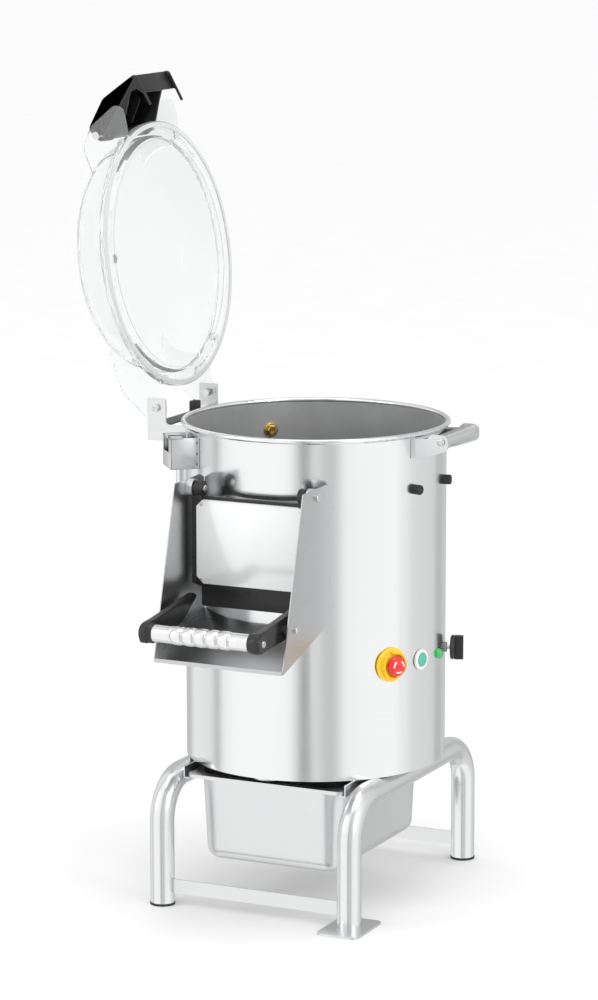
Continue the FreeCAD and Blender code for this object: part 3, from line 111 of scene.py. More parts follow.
def pores_group():
    """Fine moulded texture: small cells for height and a soft mask."""
    group, inp, out = new_group(
        "moulded_pores",
        [("Scale", "NodeSocketFloat", 900.0), ("Bump", "NodeSocketFloat", 0.2)],
        [("Mask", "NodeSocketFloat"), ("Normal", "NodeSocketVector")])
    place = node(group, "ShaderNodeTexCoord").outputs["Object"]
    cells = node(group, "ShaderNodeTexVoronoi", {"Vector": place, "Scale": inp.outputs["Scale"]})
    soft = node(group, "ShaderNodeTexNoise", {"Vector": place, "Scale": 18.0, "Detail": 4.0})
    bump = node(group, "ShaderNodeBump", {"Strength": inp.outputs["Bump"], "Distance": 0.0004,
                                          "Height": cells.outputs["Distance"]})
    group.links.new(soft.outputs["Fac"], out.inputs["Mask"])
    group.links.new(bump.outputs["Normal"], out.inputs["Normal"])
    return group


GRAIN = grain_group()
PORES = pores_group()
MATERIALS = {}


# Materials

def ramp(tree, source, low, high, start=0.3, end=0.7):
    """A value that goes from low to high while the source goes from start to end."""
    made = node(tree, "ShaderNodeMapRange", {"Value": source, "From Min": start, "From Max": end,
                                             "To Min": low, "To Max": high})
    return made.outputs["Result"]


def mixed(tree, source, low, high):
    """A colour between two, chosen by the source."""
    made = node(tree, "ShaderNodeMix", data_type="RGBA")
    tree.links.new(source, made.inputs["Factor"])
    made.inputs["A"].default_value = (*low, 1)
    made.inputs["B"].default_value = (*high, 1)
    return made.outputs["Result"]


def new_material(name):
    """Keeps a new material in MATERIALS and gives its node tree and main shader."""
    material = bpy.data.materials.new(name)
    material.use_nodes = True
    MATERIALS[name] = material
    return material.node_tree, material.node_tree.nodes["Principled BSDF"]


def steel(name, dark, light, stretch, rough, bump, blotch, anisotropic=0.0):
    """Bare metal with a grain that shows in its colour, roughness and relief."""
    tree, shader = new_material(name)
    grain = node(tree, "ShaderNodeGroup", node_tree=GRAIN)
    grain.inputs["Stretch"].default_value = stretch
    grain.inputs["Blotch Scale"].default_value = blotch
    grain.inputs["Bump"].default_value = bump
    shader.inputs["Metallic"].default_value = 1.0
    shader.inputs["Anisotropic"].default_value = anisotropic
    tree.links.new(mixed(tree, grain.outputs["Streak"], dark, light), shader.inputs["Base Color"])
    spread = node(tree, "ShaderNodeMath", {0: grain.outputs["Streak"], 1: grain.outputs["Blotch"]},
                  operation="MULTIPLY")
    tree.links.new(ramp(tree, spread.outputs[0], *rough, start=0.12, end=0.4), shader.inputs["Roughness"])
    tree.links.new(grain.outputs["Normal"], shader.inputs["Normal"])


def plastic(name, dark, light, rough, scale=900.0, bump=0.2, coat=0.0, metallic=0.0):
    """Moulded plastic, rubber, paint or grit, with fine pores and a faint change of shade."""
    tree, shader = new_material(name)
    pores = node(tree, "ShaderNodeGroup", node_tree=PORES)
    pores.inputs["Scale"].default_value = scale
    pores.inputs["Bump"].default_value = bump
    shader.inputs["Metallic"].default_value = metallic
    shader.inputs["Coat Weight"].default_value = coat
    tree.links.new(mixed(tree, pores.outputs["Mask"], dark, light), shader.inputs["Base Color"])
    tree.links.new(ramp(tree, pores.outputs["Mask"], *rough), shader.inputs["Roughness"])
    tree.links.new(pores.outputs["Normal"], shader.inputs["Normal"])


def clear_plastic(name):
    """Slightly milky clear plastic with faint flow marks and a few softer patches."""
    tree, shader = new_material(name)
    grain = node(tree, "ShaderNodeGroup", node_tree=GRAIN)
    grain.inputs["Stretch"].default_value = (14.0, 14.0, 14.0)
    grain.inputs["Bump"].default_value = 0.02
    shader.inputs["Transmission Weight"].default_value = 0.90
    shader.inputs["IOR"].default_value = 1.16
    tree.links.new(mixed(tree, grain.outputs["Blotch"], (0.955, 0.965, 0.967), (0.980, 0.985, 0.986)),
                   shader.inputs["Base Color"])
    tree.links.new(ramp(tree, grain.outputs["Streak"], 0.0, 0.035), shader.inputs["Roughness"])
    tree.links.new(grain.outputs["Normal"], shader.inputs["Normal"])


steel("brushed_drum", (0.80, 0.805, 0.81), (0.87, 0.875, 0.88), stretch=(5, 5, 900),
      rough=(0.15, 0.23), bump=0.012, blotch=3.0, anisotropic=0.5)
steel("polished_tube", (0.77, 0.775, 0.78), (0.83, 0.835, 0.84), stretch=(250, 14, 250),
      rough=(0.20, 0.28), bump=0.005, blotch=9.0, anisotropic=0.3)
steel("satin_steel", (0.70, 0.705, 0.71), (0.79, 0.795, 0.80), stretch=(14, 260, 14),
      rough=(0.28, 0.36), bump=0.006, blotch=8.0, anisotropic=0.3)
steel("bright_plate", (0.80, 0.80, 0.81), (0.92, 0.92, 0.92), stretch=(260, 12, 12),
      rough=(0.14, 0.22), bump=0.005, blotch=9.0, anisotropic=0.2)
steel("chute_steel", (0.57, 0.575, 0.58), (0.60, 0.605, 0.61), stretch=(5, 5, 260),
      rough=(0.27, 0.31), bump=0.002, blotch=3.0)
steel("cast_grip", (0.74, 0.74, 0.74), (0.90, 0.90, 0.90), stretch=(90, 90, 90),
      rough=(0.16, 0.28), bump=0.03, blotch=30.0)
steel("zinc_bolts", (0.58, 0.58, 0.57), (0.78, 0.78, 0.76), stretch=(300, 300, 300),
      rough=(0.22, 0.38), bump=0.08, blotch=60.0)
steel("brass_fitting", (0.62, 0.40, 0.12), (0.83, 0.60, 0.24), stretch=(180, 180, 180),
      rough=(0.20, 0.36), bump=0.08, blotch=60.0)
steel("cast_iron_parts", (0.10, 0.10, 0.10), (0.22, 0.22, 0.22), stretch=(120, 120, 120),
      rough=(0.5, 0.7), bump=0.5, blotch=20.0)

clear_plastic("clear_plastic")
plastic("clear_seal", (0.62, 0.64, 0.64), (0.72, 0.73, 0.73), rough=(0.3, 0.45))
# moulded_edge is the grey of the lid rim lines, painted shade for the outlines of the clear rim
plastic("moulded_edge", (0.42, 0.43, 0.44), (0.60, 0.61, 0.62), rough=(0.25, 0.4))
plastic("black_plastic", (0.008, 0.008, 0.009), (0.020, 0.020, 0.021), rough=(0.26, 0.42))
plastic("hook_plastic", (0.006, 0.006, 0.007), (0.015, 0.015, 0.016), rough=(0.3, 0.45))
plastic("black_rubber", (0.012, 0.012, 0.012), (0.026, 0.026, 0.026), rough=(0.55, 0.75))
plastic("grey_plastic", (0.30, 0.31, 0.32), (0.42, 0.43, 0.44), rough=(0.35, 0.5))
plastic("yellow_plastic", (0.93, 0.56, 0.01), (0.98, 0.66, 0.03), rough=(0.25, 0.38), coat=0.3)
plastic("red_plastic", (0.72, 0.015, 0.01), (0.85, 0.03, 0.02), rough=(0.22, 0.34), coat=0.4)
plastic("white_print", (0.85, 0.80, 0.78), (0.95, 0.92, 0.90), rough=(0.35, 0.5))
plastic("green_plastic", (0.01, 0.36, 0.13), (0.03, 0.50, 0.22), rough=(0.18, 0.30), coat=0.4)
plastic("start_green", (0.05, 0.42, 0.30), (0.10, 0.54, 0.40), rough=(0.2, 0.32), coat=0.4)
plastic("lamp_lens", (0.01, 0.42, 0.07), (0.04, 0.62, 0.14), rough=(0.12, 0.22), coat=0.6)
plastic("bezel_white", (0.74, 0.75, 0.76), (0.86, 0.87, 0.88), rough=(0.16, 0.26), coat=0.5)

plastic("grit_coat", (0.05, 0.05, 0.05), (0.17, 0.16, 0.15), rough=(0.7, 0.95), scale=420.0, bump=0.9)
plastic("motor_paint", (0.06, 0.10, 0.16), (0.10, 0.15, 0.22), rough=(0.4, 0.55), scale=200.0, bump=0.3)
plastic("inner_wall", (0.42, 0.425, 0.43), (0.54, 0.545, 0.55), rough=(0.34, 0.42), scale=60.0,
        bump=0.02, metallic=0.45)
plastic("plate_white", (0.88, 0.885, 0.89), (0.93, 0.935, 0.94), rough=(0.12, 0.18), scale=40.0,
        bump=0.01, metallic=0.2)

# CAD pieces whose look isn't that of their material slot
OWN_LOOKS = {
    "run_lamp": "lamp_lens",
    "axle_bosses": "satin_steel",
    "lid_seal": "clear_seal",
    "chute_shell": "chute_steel",
}

slot_of = {part["node"]: part["material_slot"] for part in frame["record"]["subparts"]}
for name, piece in nodes.items():
    material = MATERIALS[OWN_LOOKS.get(name, slot_of[name])]
    for slot in piece.material_slots:
        slot.material = material
    if not piece.material_slots:
        piece.data.materials.append(material)


# Mesh helpers

def finish_piece(name, mesh_builder, material, body, matrix=Matrix()):
    """Turns a bmesh into a named object that rides on a body."""
    mesh_builder.transform(matrix)
    bmesh.ops.remove_doubles(mesh_builder, verts=mesh_builder.verts, dist=1e-6)
    bmesh.ops.recalc_face_normals(mesh_builder, faces=mesh_builder.faces)
    mesh = bpy.data.meshes.new(name)
    mesh_builder.to_mesh(mesh)
    mesh_builder.free()
    mesh.materials.append(MATERIALS[material])
    mesh.shade_smooth()
    mesh.set_sharp_from_angle(angle=math.radians(35))
    piece = bpy.data.objects.new(name, mesh)
    bpy.context.scene.collection.objects.link(piece)
    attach(piece, body)
    return piece


def lathe(profile, steps=48):
    """Spins a profile of (radius, height) all the way about +Z."""
    made = bmesh.new()
    verts = [made.verts.new((radius, 0, height)) for radius, height in profile]
    edges = [made.edges.new(pair) for pair in zip(verts, verts[1:])]
    bmesh.ops.spin(made, geom=verts + edges, cent=(0, 0, 0), axis=(0, 0, 1),
                   angle=2 * math.pi, steps=steps, use_merge=True)
    return made


def hoop(r_low, r_high, z_low, z_high):
    """A whole ring with a rectangular section."""
    return lathe([(r_low, z_low), (r_high, z_low), (r_high, z_high), (r_low, z_high), (r_low, z_low)], 128)


def swept(section, degrees, steps):
    """A closed section of (radius, height) carried from +X part of the way about +Z."""
    made = bmesh.new()
    ring = [made.verts.new((radius, 0, height)) for radius, height in section]
    face = made.faces.new(ring)
    bmesh.ops.spin(made, geom=[face] + ring + list(face.edges), cent=(0, 0, 0), axis=(0, 0, 1),
                   angle=math.radians(degrees), steps=steps)
    bmesh.ops.recalc_face_normals(made, faces=made.faces)
    return made


def about_z(degrees):
    return Matrix.Rotation(math.radians(degrees), 4, "Z")


def facing(at, axis):
    """A matrix that carries local +Z to an axis at a point."""
    return Matrix.Translation(at) @ Vector(axis).to_track_quat("Z", "Y").to_matrix().to_4x4()


def turned_to(part, matrix):
    """The same bmesh, moved by a matrix."""
    part.transform(matrix)
    return part


def on_wall(angle, height, radius=DRUM_RADIUS):
    """(point, outward axis) on the drum at an angle from the front, positive toward +X."""
    turn = math.radians(angle + FRONT)
    way = Vector((math.cos(turn), math.sin(turn), 0))
    return way * radius + UP * height, way


def wall_strip(angle_low, angle_high, z_low, z_high, r_low, r_high, steps=10):
    """A strip of sheet that follows the drum between two angles from the front."""
    strip = swept([(r_low, z_low), (r_high, z_low), (r_high, z_high), (r_low, z_high)],
                  angle_high - angle_low, steps)
    return turned_to(strip, about_z(angle_low + FRONT))


def join_into(target, source, matrix):
    """Adds a transformed copy of one bmesh to another."""
    carrier = bpy.data.meshes.new("carrier")
    copy = source.copy()
    copy.transform(matrix)
    copy.to_mesh(carrier)
    copy.free()
    target.from_mesh(carrier)
    bpy.data.meshes.remove(carrier)


def merged(*parts):
    """One bmesh out of several, which are used up."""
    joined = bmesh.new()
    for part in parts:
        join_into(joined, part, Matrix())
        part.free()
    return joined


def rounded(outline, steps=6):
    """Replaces each corner (u, v, radius) by an arc."""
    points = []
    count = len(outline)
    for i, (u, v, radius) in enumerate(outline):
        here = Vector((u, v))
        back = (Vector(outline[i - 1][:2]) - here).normalized()
        ahead = (Vector(outline[(i + 1) % count][:2]) - here).normalized()
        if radius == 0:
            points.append(here)
            continue
        half = back.angle(ahead) / 2
        centre = here + (back + ahead).normalized() * (radius / math.sin(half))
        start = here + back * (radius / math.tan(half)) - centre
        end = here + ahead * (radius / math.tan(half)) - centre
        sweep = start.angle_signed(end)
        for k in range(steps + 1):
            points.append(centre + Matrix.Rotation(-sweep * k / steps, 2) @ start)
    return points


PLANES = {
    "XY": lambda u, v, w: Vector((u, v, w)),
    "YZ": lambda u, v, w: Vector((w, u, v)),
    "XZ": lambda u, v, w: Vector((u, w, v)),
}


def prism(outline, start, end, plane, bevel):
    """An outline given thickness, with softened edges. Corners are (u, v, radius)."""
    place = PLANES[plane]
    made = bmesh.new()
    ring = [made.verts.new(place(p.x, p.y, start)) for p in rounded(outline)]
    face = made.faces.new(ring)
    grown = bmesh.ops.extrude_face_region(made, geom=[face])
    moved = [v for v in grown["geom"] if isinstance(v, bmesh.types.BMVert)]
    bmesh.ops.translate(made, verts=moved, vec=place(0, 0, end - start))
    bmesh.ops.recalc_face_normals(made, faces=made.faces)
    sharp = [e for e in made.edges if e.calc_face_angle(0) > math.radians(50)]
    bmesh.ops.bevel(made, geom=sharp, offset=bevel, offset_type="OFFSET", segments=2, profile=0.5,
                    affect="EDGES", material=-1, clamp_overlap=True)
    return made


def box_outline(u_low, v_low, u_high, v_high, radius=0.0):
    return [(u_low, v_low, radius), (u_high, v_low, radius), (u_high, v_high, radius),
            (u_low, v_high, radius)]


def both_halves(right):
    """A right half, listed from the foot up, and its mirror image, from the left foot round."""
    left = [(-u, v, radius) for u, v, radius in right]
    return [left[0], *right, *reversed(left[1:])]


def screw_heads(name, places, radius, rise):
    """Domed screw heads with a round socket."""
    socket, socket_floor = radius * 0.42, rise * 0.45
    head = lathe([
        (0, socket_floor), (socket, socket_floor), (radius * 0.48, rise * 0.98), (radius * 0.70, rise),
        (radius * 0.90, rise * 0.75), (radius, rise * 0.35), (radius, 0),
    ], 36)
    joined = bmesh.new()
    for at, axis in places:
        join_into(joined, head, facing(at, axis))
    head.free()
    finish_piece(name, joined, "zinc_bolts", "machine")


# Lever and door

def lever():
    """Slim deep arms that end in round caps at the grip, and short pivot pins in the cheeks."""
    arm = [(-0.455, 0.512, 0.010), (-0.346, 0.518, 0.010), (-0.320, 0.526, 0.012), (-0.272, 0.556, 0.003),
           (-0.268, 0.561, 0.002), (-0.276, 0.566, 0.004), (-0.415, 0.549, 0.020), (-0.455, 0.546, 0.016)]
    cap = [(0.0005, 0), (0.0165, 0), (0.0172, 0.001), (0.0172, 0.0205), (0.0150, 0.0230), (0.0005, 0.0230)]
    bolt = [(0, 0.0012), (0.0024, 0.0012), (0.0028, 0.0026), (0.0050, 0.0024), (0.0058, 0.0008), (0.0058, 0)]
    pin = [(0, 0), (0.0048, 0), (0.0048, 0.022), (0, 0.022)]
    washer = [(0.0055, 0), (0.010, 0), (0.010, 0.0018), (0.0055, 0.0018)]
    arm_inside, arm_outside = 0.0965, 0.109
    cap_seat, bolt_seat, pin_seat, washer_seat = 0.0890, 0.112, 0.0966, 0.1095
    arms, bolts, pins = [], [], []
    for side in SIDES:
        way = (side, 0, 0)
        arms.append(prism(arm, *sorted((side * arm_inside, side * arm_outside)), "YZ", 0.0012))
        arms.append(turned_to(lathe(cap), facing((side * cap_seat, GRIP_Y, GRIP_Z), way)))
        bolts.append(turned_to(lathe(bolt, 24), facing((side * bolt_seat, GRIP_Y, GRIP_Z), way)))
        for profile, seat in ((pin, pin_seat), (washer, washer_seat)):
            at = (side * seat, LEVER_PIVOT_Y, LEVER_PIVOT_Z)
            pins.append(turned_to(lathe(profile, 24), facing(at, way)))
    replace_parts(finish_piece("lever_side_arms", merged(*arms), "black_plastic", "lever"),
                "lever_arms")
    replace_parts(finish_piece("grip_end_bolts", merged(*bolts), "zinc_bolts", "lever"),
                "grip_bolts")
    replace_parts(finish_piece("lever_pivot_pins", merged(*pins), "zinc_bolts", "machine"),
                "lever_rod")


def grip():
    """Cast bar with five round swells between two plain ends."""
    radius, half_length, plain_from = 0.0148, 0.0889, 0.0560
    swells, swell_length, swell_rise, groove = 5, 0.0218, 0.0026, 0.0012
    profile = [(0.0005, -half_length), (radius, -half_length), (radius, -plain_from)]
    for i in range(swells):
        middle = (i - swells // 2) * swell_length
        for step in range(9):
            turn = math.pi * step / 8
            profile.append((radius - groove + swell_rise * math.sin(turn),
                            middle - swell_length / 2 * math.cos(turn)))
    profile += [(radius, plain_from), (radius, half_length), (0.0005, half_length)]
    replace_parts(finish_piece("cast_grip_bar", lathe(profile), "cast_grip", "lever",
                             facing((0, GRIP_Y, GRIP_Z), (1, 0, 0))), "lever_grip")


def door():
    """Black door with shoulders above the lever, its plate, rivets, side knuckles and pivot studs."""
    back, face = -0.244, -0.254
    half, foot_half, head = 0.113, 0.095, 0.731
    panel = prism(both_halves([(foot_half, 0.540, 0.004), (foot_half, 0.574, 0.002), (half, 0.578, 0.002),
                               (half, head, 0.004)]), face, back, "XZ", 0.0008)
    rib = prism(box_outline(-half, 0.7255, half, 0.7315, 0.001), -0.2575, -0.250, "XZ", 0.0006)
    knuckle = [(0.0065, 0), (0.013, 0), (0.0138, 0.0008), (0.0138, 0.0125), (0.0128, 0.0135),
               (0.0065, 0.0135)]
    stud = [(0, 0), (0.0052, 0), (0.0060, 0.001), (0.0060, 0.032), (0, 0.032)]
    stud_head = [(0.0005, 0), (0.0055, 0), (0.0055, 0.0022), (0.0045, 0.0032), (0.0026, 0.0032),
                 (0.0022, 0.0016), (0.0005, 0.0016)]
    knuckle_seat, neck_end, stud_seat = 0.0905, 0.104, 0.0868
    parts, studs = [panel, rib], []
    for side in SIDES:
        outer = (side * knuckle_seat, DOOR_PIVOT_Y, DOOR_PIVOT_Z)
        inner = (side * stud_seat, DOOR_PIVOT_Y, DOOR_PIVOT_Z)
        parts.append(turned_to(lathe(knuckle), facing(outer, (side, 0, 0))))
        parts.append(prism(box_outline(-0.260, 0.724, -0.2445, 0.742, 0.002),
                           *sorted((side * knuckle_seat, side * neck_end)), "YZ", 0.0006))
        studs.append(turned_to(lathe(stud, 24), facing(inner, (side, 0, 0))))
        studs.append(turned_to(lathe(stud_head, 24), facing(outer, (-side, 0, 0))))
    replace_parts(finish_piece("door_slab", merged(*parts), "black_plastic", "door"),
                "door_panel")
    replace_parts(finish_piece("door_pivot_studs", merged(*studs), "zinc_bolts", "machine"),
                "door_axle")
    clip, plate_half, plate_foot, plate_head = 0.0125, 0.1035, 0.579, 0.725
    plate_face = face - 0.0015
    plate = prism(both_halves([(plate_half - clip, plate_foot, 0), (plate_half, plate_foot + clip, 0),
                               (plate_half, plate_head - clip, 0), (plate_half - clip, plate_head, 0)]),
                  plate_face, face, "XZ", 0.0004)
    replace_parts(finish_piece("door_face_plate", plate, "plate_white", "door"), "door_plate")
    rivet = [(0, 0.0016), (0.0018, 0.0014), (0.0030, 0.0007), (0.0033, 0)]
    rivet_x, rivet_low, rivet_high = 0.0935, 0.5875, 0.7165
    rivets = [turned_to(lathe(rivet, 20), facing((side * rivet_x, plate_face, z), (0, -1, 0)))
              for side in SIDES for z in (rivet_low, rivet_high)]
    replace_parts(finish_piece("door_rivet_heads", merged(*rivets), "zinc_bolts", "door"),
                "door_rivets")


# Drum wall

def switch_housing():
    """Folded sheet box beside the hinge, set square to the drum, with its weld flange and switch."""
    place = about_z(-50 + FRONT)
    low, high, out, sheet = 0.762, 0.816, 0.2695, 0.002
    front, rear = 0.0505, -0.0135
    slot, cut, rear_lip = 0.789, 0.020, 0.005
    root, rear_root, edge = 0.2235, 0.2285, 0.0004
    parts = [
        prism(box_outline(root, low, out, high), front - sheet, front, "XZ", edge),
        prism(box_outline(rear_root, low, out, high), rear, rear + sheet, "XZ", edge),
        prism(box_outline(rear, low, front, slot), out - sheet, out, "YZ", edge),
        prism(box_outline(rear, slot, rear + rear_lip, high), out - sheet, out, "YZ", edge),
        prism(box_outline(front - cut, slot, front, high), out - sheet, out, "YZ", edge),
        prism(box_outline(rear, high - 0.003, front, high), out - sheet, out, "YZ", edge),
        prism([(rear_root, rear, 0), (out, rear, 0), (out, front, 0), (root, front, 0)], low, low + sheet,
              "XY", edge),
        prism(box_outline(0.246, front - 0.026, out, front, 0.002), high - sheet, high, "XY", edge),
        prism(box_outline(0.238, rear, out, rear + 0.020, 0.002), high - sheet, high, "XY", edge),
    ]
    housing = turned_to(merged(*parts), place)
    flange = wall_strip(-38.8, -35.6, low, high, 0.2283, 0.2295)
    body = finish_piece("lid_switch_box", merged(housing, flange), "satin_steel", "machine")
    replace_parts(body, "switch_box")
    weld = [(0, 0.0011), (0.0018, 0.0009), (0.0028, 0)]
    welds = []
    for height in (0.770, 0.788, 0.807):
        at, way = on_wall(-37.3, height, radius=0.2294)
        welds.append(turned_to(lathe(weld, 16), facing(at, way)))
    finish_piece("switch_box_spot_welds", merged(*welds), "cast_iron_parts", "machine")
    inside = prism(box_outline(0.240, 0.772, 0.262, 0.808, 0.002), rear + 0.006, front - 0.006, "XZ", 0.001)
    finish_piece("switch_body", turned_to(inside, place), "black_plastic", "machine")
    conduit(place, low)


def conduit(place, top):
    """Pipe that drops from the switch box and bends into the drum wall."""
    out, along, foot, wall, bend = 0.2490, 0.030, 0.500, 0.2265, 0.005
    route = [(out, along, top), (out, along, 0.66), (out, along, 0.54), (out, along, foot + bend),
             (out - bend, along, foot), (wall, along, foot)]
    curve = bpy.data.curves.new("conduit", "CURVE")
    curve.dimensions = "3D"
    curve.bevel_depth = 0.0075
    curve.bevel_resolution = 6
    curve.resolution_u = 8
    run = curve.splines.new("NURBS")
    run.points.add(len(route) - 1)
    for point, at in zip(run.points, route):
        point.co = (*(place @ Vector(at)), 1)
    run.use_endpoint_u = True
    run.order_u = 3
    curve.materials.append(MATERIALS["polished_tube"])
    pipe = bpy.data.objects.new("conduit", curve)
    bpy.context.scene.collection.objects.link(pipe)
    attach(pipe, "machine")
    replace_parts(pipe, "conduit_pipe")


def stubs():
    """Short rubber buffers with a soft edge."""
    profile = [(0, 0.0135), (0.0070, 0.0135), (0.0082, 0.0125), (0.0086, 0.0110), (0.0084, 0.0005),
               (0.0080, -0.0002), (0, -0.0002)]
    parts = []
    for angle in (73.3, 101.3):
        at, way = on_wall(angle, height=0.735)
        parts.append(turned_to(lathe(profile), facing(at, way)))
    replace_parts(finish_piece("drum_buffers", merged(*parts), "black_rubber", "machine"),
                "rubber_stubs")


def stop_button():
    """Yellow disc with two raised crescents round the red mushroom head and its turning marks."""
    at, way = on_wall(angle=59.5, height=0.437)
    disc = lathe([(0.0066, 0.0080), (0.0190, 0.0080), (0.0200, 0.0074), (0.0210, 0.0050), (0.0285, 0.0046),
                  (0.0298, 0.0036), (0.0300, 0.0004), (0.0130, 0.0004), (0.0105, -0.010),
                  (0.0066, -0.010), (0.0066, 0.0080)], 64)
    crescent = [(0.0196, 0.004), (0.0245, 0.004), (0.0240, 0.0150), (0.0226, 0.0162), (0.0202, 0.0150)]
    guards = [turned_to(swept(crescent, 135, 24), about_z(turn)) for turn in (-35, 145)]
    shroud = merged(disc, *guards)
    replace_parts(finish_piece("stop_disc", shroud, "yellow_plastic", "machine",
                             facing(at, way)), "stop_plate")
    head = lathe([(0, 0.0262), (0.0080, 0.0258), (0.0130, 0.0246), (0.0164, 0.0220), (0.0176, 0.0186),
                  (0.0172, 0.0160), (0.0150, 0.0144), (0.0100, 0.0142), (0.0060, 0.0140), (0.0060, -0.004),
                  (0, -0.004)], 64)
    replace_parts(finish_piece("stop_mushroom", head, "red_plastic", "stop_button",
                             facing(at, way)), "stop_head")
    mark = [(0.0088, 0.0250), (0.0112, 0.0244), (0.0112, 0.0254), (0.0088, 0.0260)]
    marks = [turned_to(swept(mark, 62, 10), about_z(turn)) for turn in (0, 120, 240)]
    finish_piece("stop_turn_marks", merged(*marks), "white_print", "stop_button",
                 facing(at, way))


def start_button():
    """Wide bright bezel and the green push cap within it."""
    at, way = on_wall(angle=77.4, height=0.435)
    bezel = lathe([(0.0118, -0.006), (0.0118, 0.0042), (0.0126, 0.0052), (0.0150, 0.0056), (0.0172, 0.0048),
                   (0.0180, 0.0034), (0.0180, 0.0012), (0.0140, 0.0004), (0.0140, -0.006)], 64)
    cap = lathe([(0, 0.0066), (0.0100, 0.0066), (0.0112, 0.0060), (0.0115, 0.0050), (0.0115, -0.004),
                 (0, -0.004)], 64)
    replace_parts(finish_piece("start_ring", bezel, "bezel_white", "machine", facing(at, way)),
                "start_bezel")
    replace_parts(finish_piece("start_push_cap", cap, "start_green", "start_button",
                             facing(at, way)), "start_cap")


# Lid pieces, built with the lid shut and heights from its seat, then opened about the hinge

LID_POSE = (Matrix.Translation((LID_HINGE_X, 0, LID_HINGE_Z))
            @ Matrix.Rotation(math.radians(-LID_OPENING), 4, "Y")
            @ Matrix.Translation((-LID_HINGE_X, 0, -LID_HINGE_RISE)))


def hook():
    """Hollow latch handle: a curved skin between two hooked side walls, ribs and a barrel on the pin."""
    def from_pin(points):
        return [(LATCH_PIN_X + u, LATCH_PIN_Z + v, radius) for u, v, radius in points]

    band = from_pin([(-0.0115, -0.0095, 0.009), (0.004, -0.0340, 0.010), (0.041, -0.0470, 0.008),
                     (0.068, -0.0580, 0.006), (0.0715, -0.0720, 0.005), (0.062, -0.0845, 0.004),
                     (0.041, -0.0925, 0.001), (0.0395, -0.0965, 0.002), (0.0990, -0.0735, 0.008),
                     (0.0615, -0.0025, 0.024), (0.012, 0.0335, 0.010), (-0.0115, 0.0138, 0.010)])
    skin = from_pin([(-0.0115, 0.0138, 0.008), (-0.0075, 0.0105, 0.004), (0.0125, 0.0275, 0.008),
                     (0.0580, -0.0045, 0.020), (0.0935, -0.0700, 0.002), (0.0990, -0.0735, 0.004),
                     (0.0615, -0.0025, 0.024), (0.012, 0.0335, 0.010)])
    tip = from_pin([(0.0955, -0.0695, 0.001), (0.0940, -0.0665, 0.001), (0.0630, -0.0795, 0.001),
                    (0.0640, -0.0825, 0.001)])
    rib = from_pin([(0.004, 0.0215, 0), (0.014, -0.0110, 0.003), (0.052, -0.0330, 0.006),
                    (0.066, -0.0220, 0.004), (0.0600, -0.0040, 0.004), (0.0125, 0.0300, 0.004)])
    half_width, inside, wall, rib_width = 0.0618, 0.058, 0.0045, 0.003
    parts = [prism(skin, -half_width, half_width, "XZ", 0.0012), prism(tip, -inside, inside, "XZ", 0.0005)]
    for y in (-half_width, half_width - wall):
        parts.append(prism(band, y, y + wall, "XZ", 0.0010))
    for y in (-0.022, 0.019):
        parts.append(prism(rib, y, y + rib_width, "XZ", 0.0005))
    barrel = lathe([(0.0041, -inside), (0.0085, -inside), (0.0085, inside), (0.0041, inside)], 32)
    parts.append(turned_to(barrel, facing((LATCH_PIN_X, 0, LATCH_PIN_Z), (0, 1, 0))))
    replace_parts(finish_piece("latch_hook", merged(*parts), "hook_plastic", "lid_hook",
                             LID_POSE), "latch_handle")


def lid_lugs():
    """Small moulded lugs with a screw boss on the flange of the lid."""
    boss = [(0.0005, 0.0205), (0.0034, 0.0205), (0.0042, 0.0195), (0.0042, 0.0160), (0.0005, 0.0160)]
    lugs = []
    for turn in (-139, -26, 26, 139, 164, -164):
        lug = prism(box_outline(0.2165, -0.006, 0.2325, 0.006, 0.003), 0.0086, 0.0166, "XY", 0.0010)
        top = turned_to(lathe(boss, 20), Matrix.Translation((0.2258, 0, 0)))
        lugs.append(turned_to(merged(lug, top), about_z(turn)))
    finish_piece("lid_lugs", merged(*lugs), "clear_plastic", "lid", LID_POSE)


def lid_rim_painted_shade():
    """Thin grey rings where the rim of the lid steps. They are painted shade for the grey outlines that the
    clear rim shows by refraction and reflection.
    """
    half = 0.0003
    rings = [hoop(radius - half, radius + half, height - half, height + half)
             for radius, height in ((0.2005, -0.0008), (0.2325, 0.0010), (0.2325, 0.0084))]
    # Painted shade: grey rings that stand in for the refraction outlines of the clear rim
    finish_piece("lid_rim_painted_shade_lines", merged(*rings), "moulded_edge", "lid", LID_POSE)


# Trim round the rim of the drum

def hinge_bed():
    """Dark plate between the hinge ears, with the black block that the open lid rests on."""
    low, top, half_width, block_top = 0.819, 0.822, 0.0965, 0.842
    plate = prism(box_outline(-0.266, -half_width, -0.2335, half_width, 0.002), low, top, "XY", 0.0005)
    block = prism(box_outline(-0.262, 0.026, -0.248, 0.046, 0.002), top, block_top, "XY", 0.001)
    finish_piece("hinge_bed_plate", plate, "cast_iron_parts", "machine")
    finish_piece("lid_stop_block", block, "black_rubber", "machine")


def nozzle():
    """Brass nozzle face with a round flange, a flat-sided boss and a sunk mouth."""
    at, way = on_wall(angle=226.5, height=0.778, radius=DRUM_INSIDE)
    flange = lathe([(0.0005, 0), (0.0125, 0), (0.0128, 0.001), (0.0128, 0.0035), (0.0118, 0.0045),
                    (0.0005, 0.0045)], 40)
    boss = lathe([(0.0005, 0.0044), (0.0095, 0.0044), (0.0095, 0.0095), (0.0085, 0.0105), (0.0045, 0.0105),
                  (0.0035, 0.0070), (0.0005, 0.0070)], 6)
    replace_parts(finish_piece("nozzle_face", merged(flange, boss), "brass_fitting", "machine",
                             facing(at, -way)), "spray_nozzle")


